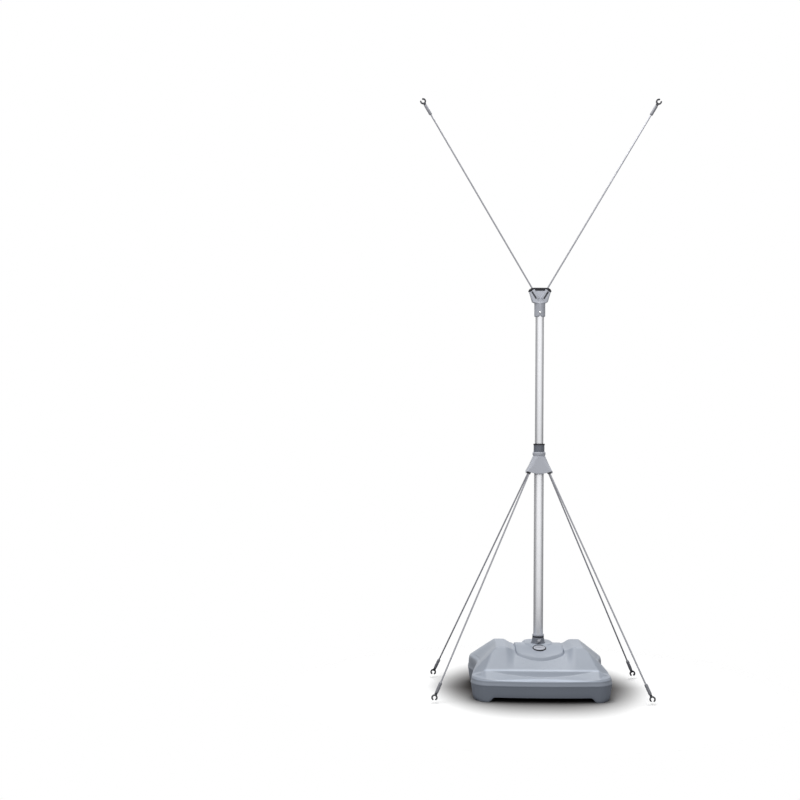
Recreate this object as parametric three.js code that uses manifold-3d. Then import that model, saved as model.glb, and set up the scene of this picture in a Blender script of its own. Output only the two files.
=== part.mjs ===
// X banner stand: water-filled base, telescopic pole, four folding lower rods and two folding upper arms.
// Millimetres, +Z up. The origin is on the floor under the pole's axis.
// +X is to the right, +Y away from the viewer.
import * as THREE from 'three';
import { mergeVertices } from 'three/addons/utils/BufferGeometryUtils.js';
import Module from 'manifold-3d';

const wasm = await Module();
wasm.setup();

// Clearances
const fitGap = 0.3; // between neighbouring pieces, and between a shaft and its hole
const runGap = 0.5; // between a turning eye and the cheeks beside it
const cutOverrun = 2; // how far a cutting solid runs past the face it cuts

// Base tank, outer walls
const tankWidth = 450;
const tankDepth = 416; // over the bowed middle of its front and rear
const tankBow = 14; // how far the middle stands out from the corners
const tankCorner = 45; // plan radius of the rim's corners
const tankWaist = 20; // how far each side is drawn in at its middle
const soleInset = 18; // from the rim in to the flat soles, along the sides
const soleInsetFront = 10;
const skirtInset = 7; // from the rim in to the top of the foot chamfer
const footChamferHeight = 11;
const archHeight = 16; // clear height under the tank between its feet
const archWidth = 306; // front arch, at its roof
const archDepth = 256; // side arch, at its roof
const archSplay = 16; // how far each end of an arch leans out towards the floor
const creaseHeight = 49; // where the lip band starts
const creaseStep = 1.5;
const bandProud = 3; // how far the lip band stands out from the skirt
const bandFootInset = 1; // lip band's foot, from the rim
const bandTop = 63;

// Base tank, top
const rimHeight = 74.5;
const frontEdge = 150; // raised body's front edge, from the pole's axis
const frontEdgeHeight = 92.6;
const crestHeight = 154; // the two long ridges
const crestInner = 112; // ridge's inner and outer edges, from the pole's axis
const crestOuter = 140;
const crestHalfDepth = 95; // where the ridge's ends start to fall
const valleyEdge = 82;
const valleyHeight = 144;
const lipSlope = 0.45; // rise per length, from the front rim to the raised body
const frontSlope = 0.64; // in front of the pad
const cornerSlope = 0.95; // at the ends of the ridges
const flankSlope = 0.8;
const hipSlope = 0.44; // at the front corners
const rearHipSlope = 0.06;
const smileWidth = 330; // hand scoop under the body's front edge
const smileDrop = 16;
const smileReach = 8.5; // how far the scoop's foot comes forward at its middle

// Pad
const padWidth = 156;
const padDepth = 224;
const padHeight = 154; // along the pole's cross axis
const padFall = 31; // from there to the pad's front edge
const padBow = 27; // how far the front edge's middle stands out from its corners
const padBevel = 3; // plan width of the bevel along the sides
const padBevelFront = 5;
const padBevelHeight = 9;
const padRoot = 100; // buried foot of the pad

// Mound on the pad, carrying the pole collar
const bossHeight = 156.5;
const moundWidth = 84;
const moundFront = 30; // from the pole's axis
const moundRear = 70;
const moundCorner = 27;
const moundSlope = 8; // plan width of its sloping side
const moundSide = 6; // height of its sloping side

// Pole seat in the base
const socketWall = 3.6;
const socketBottom = 30;
const socketFloorThickness = 4;
const collarFlangeRadius = 23.2;
const collarFlangeThickness = 3.2;
const collarFootRadius = 21.4;
const collarTopRadius = 19;
const collarHeight = 14.4;
const gripRingHeight = 4.3;
const gripRingWall = 2.6;
const guardRingHeight = 5.4;
const guardRingWall = 2.9;
const boltHeight = 166.3; // axis of the wing bolt
const boltRadius = 4;
const boltBossRadius = 6.2;
const boltBossReach = 23.4; // from the pole's axis
const wingHubRadius = 5.2;
const wingHubLength = 6;
const wingSpan = 17.6;
const wingThickness = 2.8;
const wingWidth = 5.6; // along the bolt
const wingTilt = 42; // degrees from upright

// Filler
const fillerOffset = 50.5; // in front of the pole's axis
const fillerTilt = 11; // degrees, leaning forward with the pad
const fillerSeat = 142.5; // height of the seat's centre
const fillerPocketRadius = 22.4;
const wellRadius = 12;
const wellDepth = 78;
const neckRadius = 17.2;
const neckBore = 10.6;
const neckTubeRadius = 15;
const neckHeight = 3.6;
const neckSink = 12; // how far the neck's tube reaches down
const capRadius = 18.8;
const capHeight = 7;
const capWall = 1.2;
const capTopThickness = 1.8;
const capChamfer = 0.8;
const capRibCount = 16;
const capRibRadius = 0.7;
const capBarLength = 26;
const capBarWidth = 4.6;
const capBarHeight = 2.6;
const gasketThickness = 1;
const gasketWidth = 3.4;
const sealWall = 1.9;
const sealHeight = 6;

// Pole
const lowerTubeRadius = 16;
const upperTubeRadius = 14;
const tubeWall = 1.2;
const lowerTubeBottom = 40;
const plugHead = 5;
const plugDepth = 22;
const tubeOverlap = 100; // how far the upper tube reaches into the lower
const tubeStub = 6.4; // lower tube above its hub

// Lock collar on the lower tube
const lockHeight = 22.3;
const lockWall = 1.7;
const lockGrooveDepth = 0.5;
const lockGrooveHeight = 1.6;
const lockGrooveCount = 4;
const lockFlangeWall = 4.5;
const lockFlangeHeight = 4.2;
const clutchHeight = 9;
const clutchSlot = 1.6;

// Lower hub
const hubTop = 780.5;
const hubFlangeRadius = 21.3;
const hubFlangeHeight = 8.8;
const hubFlangeChamfer = 1.5;
const hubNeckRadius = 19.8;
const hubHeadHeight = 13.8;
const skirtTopWidth = 41;
const skirtHeight = 56.2;
const skirtWidth = 86;
const skirtDepth = 57;
const skirtCorner = 7;
const skirtWall = 2.6;
const skirtCornerLift = 9; // how much higher the skirt ends at its corners, over the rods
const skirtRoof = 8; // solid above the skirt's hollow
const hubCoreWall = 2.6;
const earWidth = 2;
const earDrop = 7; // ear's reach below the pivot
const hubScrewRadius = 2;
const hubScrewHead = 3.6;
const hubScrewHeadHeight = 2.2;

// Upper hub
const yHubBottom = 1223;
const yHubSleeveRadius = 18;
const yHubBevel = 2;
const yHubShoulderRise = 44; // where the sleeve starts to spread, from the hub's bottom
const yHubWingRise = 48.5; // lower corners of the fan
const yHubWingWidth = 51;
const yHubWingDepth = 30;
const yHubHeight = 85;
const yHubWidth = 73;
const yHubDepth = 23;
const yHubCorner = 5;
const pocketDepth = 12.6; // slot for the two arms, front to back
const pocketFloorRise = 56;
const pocketFloorWidth = 27;
const pocketMouthWidth = 58;
const windowWidth = 8.6; // the slanted window over each arm
const windowStart = 3; // along the arm, from its pivot
const windowLength = 18;
const windowShift = 2.4; // outward from the arm's axis
const trimHeight = 9.6;
const trimRound = 3.2; // height of its rounded top
const trimTaper = 4.8; // how much narrower its top is
const trimProud = 0.8;
const notchWidth = 13;
const notchHeight = 5;

// Snap button
const buttonRise = 14; // above the hub's bottom
const buttonRadius = 4.5;
const buttonProud = 3.2;
const buttonDome = 1.6;
const buttonFlangeRadius = 5.6;
const buttonFlange = 1.2;
const buttonSeat = 11.2; // flange's front face, from the pole's axis
const clipThickness = 0.8;
const clipWidth = 9;
const clipReach = 10.4; // back leg, from the pole's axis
const clipRise = 8; // above the button's axis
const clipDrop = 22; // below it

// Rods
const rodRadius = 2.5;
const eyeRadius = 4.8;
const pinRadius = 2;
const eyeGrip = 9; // where the rod starts, from the pivot
const ferruleRadius = 5.3;
const ferruleLength = 36;
const ferruleNose = 1.2; // chamfer at both ends
const ferruleRodShare = 0.7; // share of the ferrule's length that grips the rod
const pegRadius = 3;
const clawInner = 5;
const clawOuter = 10;
const clawThickness = 5;
const clawReach = 15; // from the ferrule's end to the claw's centre
const clawNeckWidth = 8.6;
const clawLongTip = 20; // degrees, where the long horn ends, from the rod's line
const clawShortTip = -62; // degrees, where the short horn ends

// Lower rods
const legPivotRadius = 25.5; // from the pole's axis
const legPivotDrop = 42.5; // below the top of the hub
const legAzimuth = 31.4; // degrees from the stand's X axis
const legLean = 27.4; // degrees from upright
const legReach = 811.8; // pivot to claw centre
const legEyeThickness = 9.8;
const legShankRadius = 4.7;
const legShankLength = 32;

// Upper arms
const armPivotOffset = 7.2; // from the pole's axis
const armPivotRise = 63; // above the hub's bottom
const armLean = 30.5;
const armReach = 746;
const armEyeThickness = 11.6;
const armShankRadius = 3.9;
const armShankLength = 15;
const armPinLength = 19;

// Heights that follow from the sizes above
const lowerTubeTop = hubTop + tubeStub;
const upperTubeBottom = lowerTubeTop - tubeOverlap;
const lockBottom = hubTop + fitGap;
const skirtTop = hubTop - hubHeadHeight;
const skirtBottom = skirtTop - skirtHeight;
const legPivotHeight = hubTop - legPivotDrop;
const yHubShoulder = yHubBottom + yHubShoulderRise;
const yHubWing = yHubBottom + yHubWingRise;
const yHubTop = yHubBottom + yHubHeight;
const upperTubeTop = yHubShoulder - fitGap;
const pocketFloor = yHubBottom + pocketFloorRise;
const armPivotHeight = yHubBottom + armPivotRise;
const buttonHeight = yHubBottom + buttonRise;

// Turns of round pieces
const fineSteps = 32;
const steps = 20;
const fewSteps = 10;
const ribSteps = 5;

// Finishes
const finishes = {
  tank: { color: 0xa9b0bd, roughness: 0.55, metalness: 0 },
  hub: { color: 0xabb0b8, roughness: 0.5, metalness: 0 },
  darkPlastic: { color: 0x34363d, roughness: 0.5, metalness: 0 },
  collar: { color: 0x70757f, roughness: 0.45, metalness: 0 },
  rubber: { color: 0x232428, roughness: 0.8, metalness: 0 },
  tube: { color: 0xd4d6da, roughness: 0.3, metalness: 0.9 },
  rod: { color: 0x8b8d94, roughness: 0.35, metalness: 0.8 },
  ferrule: { color: 0x9a9da4, roughness: 0.45, metalness: 0 },
  steel: { color: 0xc9ccd1, roughness: 0.25, metalness: 1 },
};

const { lerp, clamp, degToRad } = THREE.MathUtils;
const quarterTurn = Math.PI / 2;
const sides = { left: -1, right: 1 };
const ends = { front: -1, rear: 1 };

// A merged, indexed copy of a geometry without collapsed triangles, its faces turned outwards.
function closed(geometry) {
  const bare = geometry.clone();
  for (const name of ['normal', 'uv']) {
    bare.deleteAttribute(name);
  }
  const merged = mergeVertices(bare);
  const at = merged.getAttribute('position');
  const corners = [new THREE.Vector3(), new THREE.Vector3(), new THREE.Vector3()];
  const kept = [];
  let volume = 0;
  for (let i = 0; i < merged.index.count; i += 3) {
    const face = [0, 1, 2].map((k) => merged.index.getX(i + k));
    if (new Set(face).size === corners.length) {
      face.forEach((v, k) => corners[k].fromBufferAttribute(at, v));
      volume += corners[0].dot(corners[1].clone().cross(corners[2]));
      kept.push(...face);
    }
  }
  if (volume < 0) {
    kept.reverse();
  }
  merged.setIndex(kept);
  return merged;
}

function solid(geometry) {
  if (geometry.getMesh) {
    return geometry;
  }
  const body = closed(geometry);
  const vertProperties = new Float32Array(body.getAttribute('position').array);
  const triVerts = new Uint32Array(body.index.array);
  return new wasm.Manifold(new wasm.Mesh({ numProp: 3, vertProperties, triVerts }));
}

const joined = (...shapes) => shapes.map(solid).reduce((whole, next) => whole.add(next));
const without = (shape, ...cuts) => cuts
  .map(solid)
  .reduce((whole, next) => whole.subtract(next), solid(shape));

function geometryOf(manifold) {
  const { vertProperties, triVerts } = manifold.getMesh();
  const geometry = new THREE.BufferGeometry();
  geometry.setAttribute('position', new THREE.BufferAttribute(new Float32Array(vertProperties), 3));
  geometry.setIndex(new THREE.BufferAttribute(new Uint32Array(triVerts), 1));
  return geometry;
}

const group = new THREE.Group();

// Adds a named mesh with its own material.
function addPiece(name, shape, finish, place = new THREE.Matrix4()) {
  const geometry = (shape.getMesh ? geometryOf(shape) : closed(shape)).applyMatrix4(place);
  const mesh = new THREE.Mesh(geometry, new THREE.MeshStandardMaterial({ ...finishes[finish] }));
  mesh.name = name;
  group.add(mesh);
}

// A solid turned about Z, from [radius, height] points.
function revolve(points, turns = steps) {
  const profile = points.map(([radius, height]) => new THREE.Vector2(radius, height));
  return new THREE.LatheGeometry(profile, turns).rotateX(quarterTurn);
}

function sleeve(outer, inner, low, high, turns = steps) {
  return revolve([[inner, low], [outer, low], [outer, high], [inner, high], [inner, low]], turns);
}

function disc(radius, low, high, turns = steps) {
  return revolve([[0, low], [radius, low], [radius, high], [0, high]], turns);
}

// Turns a shape built along Z to run along X, or along -Y.
const alongX = (geometry) => geometry.rotateY(quarterTurn);
const towardFront = (geometry) => geometry.rotateX(quarterTurn);

function block(sizeX, sizeY, sizeZ, x = 0, y = 0, z = 0) {
  return new THREE.BoxGeometry(sizeX, sizeY, sizeZ).translate(x, y, z);
}

// An outline in the X-Z plane, run along Y and centred on y = 0.
function prism(points, depth) {
  const shape = new THREE.Shape(points.map(([x, z]) => new THREE.Vector2(x, z)));
  const settings = { depth, bevelEnabled: false };
  return new THREE.ExtrudeGeometry(shape, settings).rotateX(quarterTurn).translate(0, depth / 2, 0);
}

// A skin over closed loops of equal point counts, capped at both ends.
function loft(loops) {
  const count = loops[0].length;
  const points = loops.flat();
  const index = [];
  for (let ring = 0; ring + 1 < loops.length; ring += 1) {
    for (let i = 0; i < count; i += 1) {
      const a = ring * count + i;
      const b = ring * count + ((i + 1) % count);
      index.push(a, b, a + count, b, b + count, a + count);
    }
  }
  for (const [ring, flip] of [[0, true], [loops.length - 1, false]]) {
    const middle = loops[ring].reduce((sum, point) => sum.add(point), new THREE.Vector3());
    points.push(middle.divideScalar(count));
    for (let i = 0; i < count; i += 1) {
      const pair = [ring * count + i, ring * count + ((i + 1) % count)];
      if (flip) {
        pair.reverse();
      }
      index.push(...pair, points.length - 1);
    }
  }
  const geometry = new THREE.BufferGeometry().setFromPoints(points);
  geometry.setIndex(index);
  return geometry;
}

const smooth = (t) => t * t * (3 - 2 * t);
const between = (value, low, high) => clamp((value - low) / (high - low), 0, 1);

// A rounded rectangle as one closed loop. Each point carries how far its side is drawn in at the waist.
function roundedLoop(size, [sideCount, turnCount, frontCount]) {
  const { halfWidth, halfDepth, cornerX, cornerY = cornerX, waist = 0 } = size;
  const quarter = [];
  for (let i = 0; i < sideCount; i += 1) {
    const drawn = waist * (1 + Math.cos(Math.PI * i / sideCount)) / 2;
    quarter.push({ x: halfWidth - drawn, y: (halfDepth - cornerY) * i / sideCount, drawn });
  }
  for (let i = 0; i < turnCount; i += 1) {
    const angle = quarterTurn * i / turnCount;
    const x = halfWidth - cornerX + cornerX * Math.cos(angle);
    quarter.push({ x, y: halfDepth - cornerY + cornerY * Math.sin(angle), drawn: 0 });
  }
  for (let i = 0; i <= frontCount; i += 1) {
    quarter.push({ x: (halfWidth - cornerX) * (1 - i / frontCount), y: halfDepth, drawn: 0 });
  }
  const left = quarter.slice(0, -1).reverse().map((point) => ({ ...point, x: -point.x }));
  const half = [...quarter, ...left];
  const front = half.slice(1, -1).reverse().map((point) => ({ ...point, y: -point.y }));
  return [...half, ...front];
}

// Matrix that carries local +X along a direction from an origin, with local +Y as near as can be to a side.
function frameAlong(origin, direction, across) {
  const z = direction.clone().cross(across).normalize();
  const y = z.clone().cross(direction);
  return new THREE.Matrix4().makeBasis(direction, y, z).setPosition(origin);
}

// How much shorter a bowed loop is at a distance from its middle, as a factor on its depth
const bowFactor = (x, loopWidth, loopDepth, bow) => 1 - (x / loopWidth) ** 2 * bow / loopDepth;

// Base tank
const halfWidth = tankWidth / 2;
const halfDepth = tankDepth / 2;
const tankCounts = [6, 6, 8];
const wallRings = [
  { inset: soleInset, insetFront: soleInsetFront, height: 0 },
  { inset: skirtInset, height: footChamferHeight },
  { inset: bandProud, height: creaseHeight - creaseStep },
  { inset: bandFootInset, height: creaseHeight },
  { inset: 0, height: bandTop },
];
const wallLoops = wallRings.map(({ inset, insetFront = inset, height }) => {
  const size = { halfWidth: halfWidth - inset, halfDepth: halfDepth - insetFront };
  const loop = roundedLoop({ ...size, cornerX: tankCorner - inset, waist: tankWaist }, tankCounts);
  const bowed = (x, y) => y * bowFactor(x, size.halfWidth, size.halfDepth, tankBow);
  return loop.map(({ x, y }) => new THREE.Vector3(x, bowed(x, y), height));
});

// Height of the tank's top at a place: the least of its ridge profile, its front slope and its flank.
function topHeight(across, y) {
  const along = Math.abs(y);
  const ridge = smooth(between(across, valleyEdge, crestInner));
  const profile = lerp(valleyHeight, crestHeight, ridge);
  const slope = lerp(frontSlope, cornerSlope, ridge);
  const front = frontEdgeHeight + (along < frontEdge ? slope : lipSlope) * (frontEdge - along);
  const hip = (y < 0 ? hipSlope : rearHipSlope) * Math.max(0, along - crestHalfDepth);
  const flank = crestHeight - flankSlope * (across - crestOuter) - hip;
  return Math.max(rimHeight, Math.min(profile, front, flank));
}

// Rings of the top. Run is the share of the way in from the rim to the pad, across and along. Corner is
// a share of the ring's own half width and half depth. Rise is the share of the height above the band,
// waist and dip are shares of the tank's waist and of the hand scoop, reach is the share of the scoop's
// forward reach, bow is the share of the pad's bowed front, and edge is the share of the tank's own bow.
const topRingShares = [
  { run: [0.0055, 0.0097], corner: [0.2, 0.227], rise: 0.5, waist: 1, dip: 0.06, reach: 0, bow: 0, edge: 1 },
  { run: [0.0276, 0.0483], corner: [0.2, 0.227], rise: 0.88, waist: 1, dip: 0.2, reach: 0, bow: 0, edge: 1 },
  { run: [0.062, 0.109], corner: [0.2, 0.227], rise: 1, waist: 1, dip: 0.34, reach: 0, bow: 0, edge: 1 },
  { run: [0.0966, 0.278], corner: [0.19, 0.225], rise: 1, waist: 1, dip: 0.7, reach: 0.4, bow: 0, edge: 0.7 },
  { run: [0.124, 0.557], corner: [0.15, 0.2], rise: 1, waist: 0.92, dip: 1.05, reach: 1, bow: 0, edge: 0.3 },
  { run: [0.138, 0.58], corner: [0.13, 0.19], rise: 1, waist: 0.9, dip: 0, reach: 0, bow: 0, edge: 0.25 },
  { run: [0.207, 0.64], corner: [0.15, 0.23], rise: 1, waist: 0.8, dip: 0, reach: 0, bow: 0, edge: 0.1 },
  { run: [0.324, 0.714], corner: [0.2, 0.28], rise: 1, waist: 0.6, dip: 0, reach: 0, bow: 0.06, edge: 0 },
  { run: [0.448, 0.787], corner: [0.25, 0.3], rise: 1, waist: 0.36, dip: 0, reach: 0, bow: 0.16, edge: 0 },
  { run: [0.574, 0.85], corner: [0.3, 0.3], rise: 1, waist: 0.1, dip: 0, reach: 0, bow: 0.3, edge: 0 },
  { run: [0.62, 0.882], corner: [0.3, 0.28], rise: 1, waist: 0, dip: 0, reach: 0, bow: 0.4, edge: 0 },
  { run: [0.779, 0.93], corner: [0.27, 0.23], rise: 1, waist: 0, dip: 0, reach: 0, bow: 0.62, edge: 0 },
  { run: [0.89, 0.967], corner: [0.22, 0.17], rise: 1, waist: 0, dip: 0, reach: 0, bow: 0.82, edge: 0 },
  { run: [1, 1], corner: [0.155, 0.11], rise: 1, waist: 0, dip: 0, reach: 0, bow: 1, edge: 0 },
];
const padFootHalfWidth = padWidth / 2 + fitGap;
const padFootHalfDepth = padDepth / 2 + fitGap;
const topLoops = topRingShares.map(({ run, corner, rise, waist, dip, reach, bow, edge }) => {
  const ringHalfWidth = lerp(halfWidth, padFootHalfWidth, run[0]);
  const ringHalfDepth = lerp(halfDepth, padFootHalfDepth, run[1]);
  const size = { halfWidth: ringHalfWidth, halfDepth: ringHalfDepth, waist: tankWaist * waist };
  const round = { cornerX: ringHalfWidth * corner[0], cornerY: ringHalfDepth * corner[1] };
  return roundedLoop({ ...size, ...round }, tankCounts).map(({ x, y, drawn }) => {
    const frontShare = between(Math.abs(y), ringHalfDepth - round.cornerY, ringHalfDepth);
    const scoop = frontShare * Math.max(0, 1 - (2 * x / smileWidth) ** 2);
    const bowed = y * bowFactor(x, ringHalfWidth, ringHalfDepth, padBow * bow + tankBow * edge);
    const surface = topHeight(Math.abs(x) + drawn, bowed);
    const height = lerp(bandTop, surface, rise) - smileDrop * dip * scoop;
    return new THREE.Vector3(x, bowed + Math.sign(y) * smileReach * reach * scoop, height);
  });
});

// Pad, crowned from front to back, with bowed ends
const padHalfWidth = padWidth / 2;
const padHalfDepth = padDepth / 2;
const padRingShares = [
  { bevel: 0, sink: 1, inward: 0 },
  { bevel: 1, sink: 0, inward: 0 },
  { bevel: 1, sink: 0, inward: 0.3 },
  { bevel: 1, sink: 0, inward: 0.6 },
];
const padCornerShares = [0.155, 0.11];
function padLoop(bevel, inward, heightAt) {
  const across = (padHalfWidth - padBevel * bevel) * (1 - inward);
  const along = (padHalfDepth - padBevelFront * bevel) * (1 - inward);
  const round = { cornerX: across * padCornerShares[0], cornerY: along * padCornerShares[1] };
  const loop = roundedLoop({ halfWidth: across, halfDepth: along, ...round }, tankCounts);
  return loop.map(({ x, y }) => {
    const bowed = y * bowFactor(x, across, along, padBow * (1 - inward));
    return new THREE.Vector3(x, bowed, heightAt(bowed));
  });
}
const crown = (y) => padHeight - padFall * (y / padHalfDepth) ** 2;
const padLoops = padRingShares.map(({ bevel, sink, inward }) => (
  padLoop(bevel, inward, (y) => crown(y) - padBevelHeight * sink)
));
const pad = loft([padLoop(0, 0, () => padRoot), ...padLoops]);

// Mound under the collar, reaching back behind the pole
const moundCounts = [3, 5, 2];
function moundLoop(spread, height) {
  const size = {
    halfWidth: moundWidth / 2 + spread,
    halfDepth: (moundFront + moundRear) / 2 + spread,
    cornerX: moundCorner + spread,
  };
  const middle = (moundRear - moundFront) / 2;
  return roundedLoop(size, moundCounts).map(({ x, y }) => new THREE.Vector3(x, y + middle, height));
}
const boss = loft([
  moundLoop(moundSlope, padRoot),
  moundLoop(moundSlope, bossHeight - moundSide),
  moundLoop(0, bossHeight),
]);

function archOutline(width) {
  const roof = width / 2;
  const foot = roof + archSplay;
  return [
    [-foot, 0], [-roof, archHeight], [roof, archHeight],
    [foot, 0], [foot, -cutOverrun], [-foot, -cutOverrun],
  ];
}
const frontArch = prism(archOutline(archWidth), tankDepth + cutOverrun);
const sideArch = prism(archOutline(archDepth), tankWidth + cutOverrun).rotateZ(quarterTurn);

// Filler: local Z leans forward from the seat's centre
const fillerPlace = new THREE.Matrix4().makeRotationX(degToRad(fillerTilt));
fillerPlace.setPosition(0, -fillerOffset, fillerSeat);
const fillerPocket = disc(fillerPocketRadius, 0, bossHeight, fineSteps).applyMatrix4(fillerPlace);
const fillerWell = joined(
  disc(wellRadius, -wellDepth, cutOverrun),
  disc(neckTubeRadius + fitGap, -neckSink - fitGap, cutOverrun),
).transform(fillerPlace.elements);

const socketInner = lowerTubeRadius + fitGap;
const socketOuter = socketInner + socketWall;
const socketBore = disc(socketOuter + fitGap, socketBottom - fitGap, bossHeight + cutOverrun, fineSteps);
const tank = without(
  joined(loft([...wallLoops, ...topLoops]), pad, boss),
  frontArch, sideArch, fillerPocket, fillerWell, socketBore,
);
addPiece('base_tank', tank, 'tank');

// Pole seat
const collarBottom = bossHeight + fitGap;
const collarTop = collarBottom + collarFlangeThickness + collarHeight;
const socketTop = collarBottom - fitGap;
const socketFloor = socketBottom + socketFloorThickness;
addPiece('pole_socket', revolve([
  [0, socketBottom], [socketOuter, socketBottom], [socketOuter, socketTop],
  [socketInner, socketTop], [socketInner, socketFloor], [0, socketFloor],
], fineSteps), 'hub');

const collarFlangeTop = collarBottom + collarFlangeThickness;
const collarBody = revolve([
  [socketInner, collarBottom], [collarFlangeRadius, collarBottom],
  [collarFlangeRadius, collarFlangeTop - collarFlangeThickness / 2], [collarFootRadius, collarFlangeTop],
  [collarTopRadius, collarTop], [socketInner, collarTop], [socketInner, collarBottom],
], fineSteps);
const boltBoss = towardFront(disc(boltBossRadius, socketInner + fitGap, boltBossReach));
const holeStart = socketInner - cutOverrun;
const boltHole = towardFront(disc(boltRadius + fitGap, holeStart, boltBossReach + cutOverrun, fewSteps));
const collarBore = disc(socketInner, collarBottom - cutOverrun, collarTop + cutOverrun, fineSteps);
const collarSolid = joined(collarBody, boltBoss.translate(0, 0, boltHeight));
addPiece('pole_collar', without(collarSolid, collarBore, boltHole.translate(0, 0, boltHeight)), 'collar');

// Rubber ring and guard ring on the collar
const gripBottom = collarTop + fitGap;
const gripTop = gripBottom + gripRingHeight;
const gripRing = sleeve(socketInner + gripRingWall, socketInner, gripBottom, gripTop, fineSteps);
addPiece('collar_ring', gripRing, 'rubber');
const guardBottom = gripTop + fitGap;
const guardTop = guardBottom + guardRingHeight;
const guardRing = sleeve(socketInner + guardRingWall, socketInner, guardBottom, guardTop, fineSteps);
addPiece('guard_ring', guardRing, 'hub');

const hubStart = boltBossReach + fitGap;
const wing = block(wingThickness, wingWidth, wingSpan, 0, -hubStart - wingHubLength / 2, 0);
const wingBolt = joined(
  towardFront(disc(boltRadius, socketInner, hubStart + wingHubLength / 2, fewSteps)),
  towardFront(disc(wingHubRadius, hubStart, hubStart + wingHubLength)),
  wing.rotateY(degToRad(wingTilt)),
);
addPiece('wing_bolt', wingBolt.translate(0, 0, boltHeight), 'steel');

// Filler neck, gasket, seal and cap, seen from the seat
const neckFlange = fitGap + neckHeight;
addPiece('filler_neck', revolve([
  [neckBore, -neckSink], [neckTubeRadius, -neckSink], [neckTubeRadius, fitGap], [neckRadius, fitGap],
  [neckRadius, neckFlange], [neckBore, neckFlange], [neckBore, -neckSink],
]), 'darkPlastic', fillerPlace);
const gasketBottom = neckFlange + fitGap / 2;
const gasketTop = gasketBottom + gasketThickness;
const gasketRing = sleeve(neckRadius, neckRadius - gasketWidth, gasketBottom, gasketTop);
addPiece('filler_gasket', gasketRing, 'rubber', fillerPlace);
const sealInner = capRadius + capRibRadius + fitGap;
const sealRing = sleeve(sealInner + sealWall, sealInner, fitGap, fitGap + sealHeight, fineSteps);
addPiece('filler_seal', sealRing, 'rubber', fillerPlace);
const capUnder = capHeight - capTopThickness;
const capShell = revolve([
  [0, capUnder], [capRadius - capWall, capUnder], [capRadius - capWall, fitGap], [capRadius, fitGap],
  [capRadius, capHeight - capChamfer], [capRadius - capChamfer, capHeight], [0, capHeight],
], fineSteps);
const capRibs = Array.from({ length: capRibCount }, (_, i) => {
  const rib = disc(capRibRadius, fitGap, capHeight - capChamfer, ribSteps);
  return rib.translate(capRadius, 0, 0).rotateZ(2 * Math.PI * i / capRibCount);
});
const capBar = block(capBarLength, capBarWidth, capBarHeight).translate(0, 0, capHeight);
addPiece('filler_cap', joined(capShell, ...capRibs, capBar), 'hub', fillerPlace);

// Pole foot and tubes
const lowerTubeInner = lowerTubeRadius - tubeWall;
const upperTubeInner = upperTubeRadius - tubeWall;
const plugRadius = lowerTubeInner - fitGap;
const footTop = lowerTubeBottom - fitGap;
addPiece('pole_foot', revolve([
  [0, footTop - plugHead], [lowerTubeRadius, footTop - plugHead], [lowerTubeRadius, footTop],
  [plugRadius, footTop], [plugRadius, footTop + plugDepth], [0, footTop + plugDepth],
]), 'darkPlastic');
const screwHeight = hubTop - hubFlangeHeight / 2;
const screwBore = towardFront(disc(hubScrewRadius + fitGap, -hubFlangeRadius - cutOverrun, 0, fewSteps));
screwBore.translate(0, 0, screwHeight);
const lowerSleeve = sleeve(lowerTubeRadius, lowerTubeInner, lowerTubeBottom, lowerTubeTop, fineSteps);
addPiece('lower_tube', without(lowerSleeve, screwBore), 'tube');

const bushRadius = upperTubeInner - fitGap;
const bushTop = upperTubeBottom - fitGap;
addPiece('guide_bush', revolve([
  [0, bushTop - plugHead], [plugRadius, bushTop - plugHead], [plugRadius, bushTop], [bushRadius, bushTop],
  [bushRadius, bushTop + plugDepth], [0, bushTop + plugDepth],
]), 'darkPlastic');
const buttonHole = towardFront(disc(buttonRadius + fitGap, 0, yHubSleeveRadius + cutOverrun, steps));
buttonHole.translate(0, 0, buttonHeight);
const upperSleeve = sleeve(upperTubeRadius, upperTubeInner, upperTubeBottom, upperTubeTop, fineSteps);
addPiece('upper_tube', without(upperSleeve, buttonHole), 'tube');

// Lock collar, its flange and the split clutch bush inside it
const lockOuter = socketInner + lockWall;
const lockProfile = [[socketInner, lockBottom], [lockOuter, lockBottom]];
for (let i = 1; i <= lockGrooveCount; i += 1) {
  const low = lockBottom + lockHeight * i / (lockGrooveCount + 1) - lockGrooveHeight / 2;
  const high = low + lockGrooveHeight;
  const floor = lockOuter - lockGrooveDepth;
  lockProfile.push([lockOuter, low], [floor, low], [floor, high], [lockOuter, high]);
}
const lockTop = lockBottom + lockHeight;
lockProfile.push([lockOuter, lockTop], [socketInner, lockTop], [socketInner, lockBottom]);
addPiece('lock_collar', revolve(lockProfile, steps), 'collar');
const upperBore = upperTubeRadius + fitGap;
const flangeBottom = lockTop + fitGap;
const flangeTop = flangeBottom + lockFlangeHeight;
addPiece('lock_flange', sleeve(upperBore + lockFlangeWall, upperBore, flangeBottom, flangeTop), 'rubber');
const clutchBottom = lowerTubeTop + fitGap;
const clutchSplit = block(lowerTubeRadius, clutchSlot, clutchHeight + cutOverrun);
clutchSplit.translate(lowerTubeRadius, 0, clutchBottom + clutchHeight / 2);
const clutchRing = sleeve(lowerTubeRadius, upperBore, clutchBottom, clutchBottom + clutchHeight);
addPiece('clutch_bush', without(clutchRing, clutchSplit), 'darkPlastic');

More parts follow.
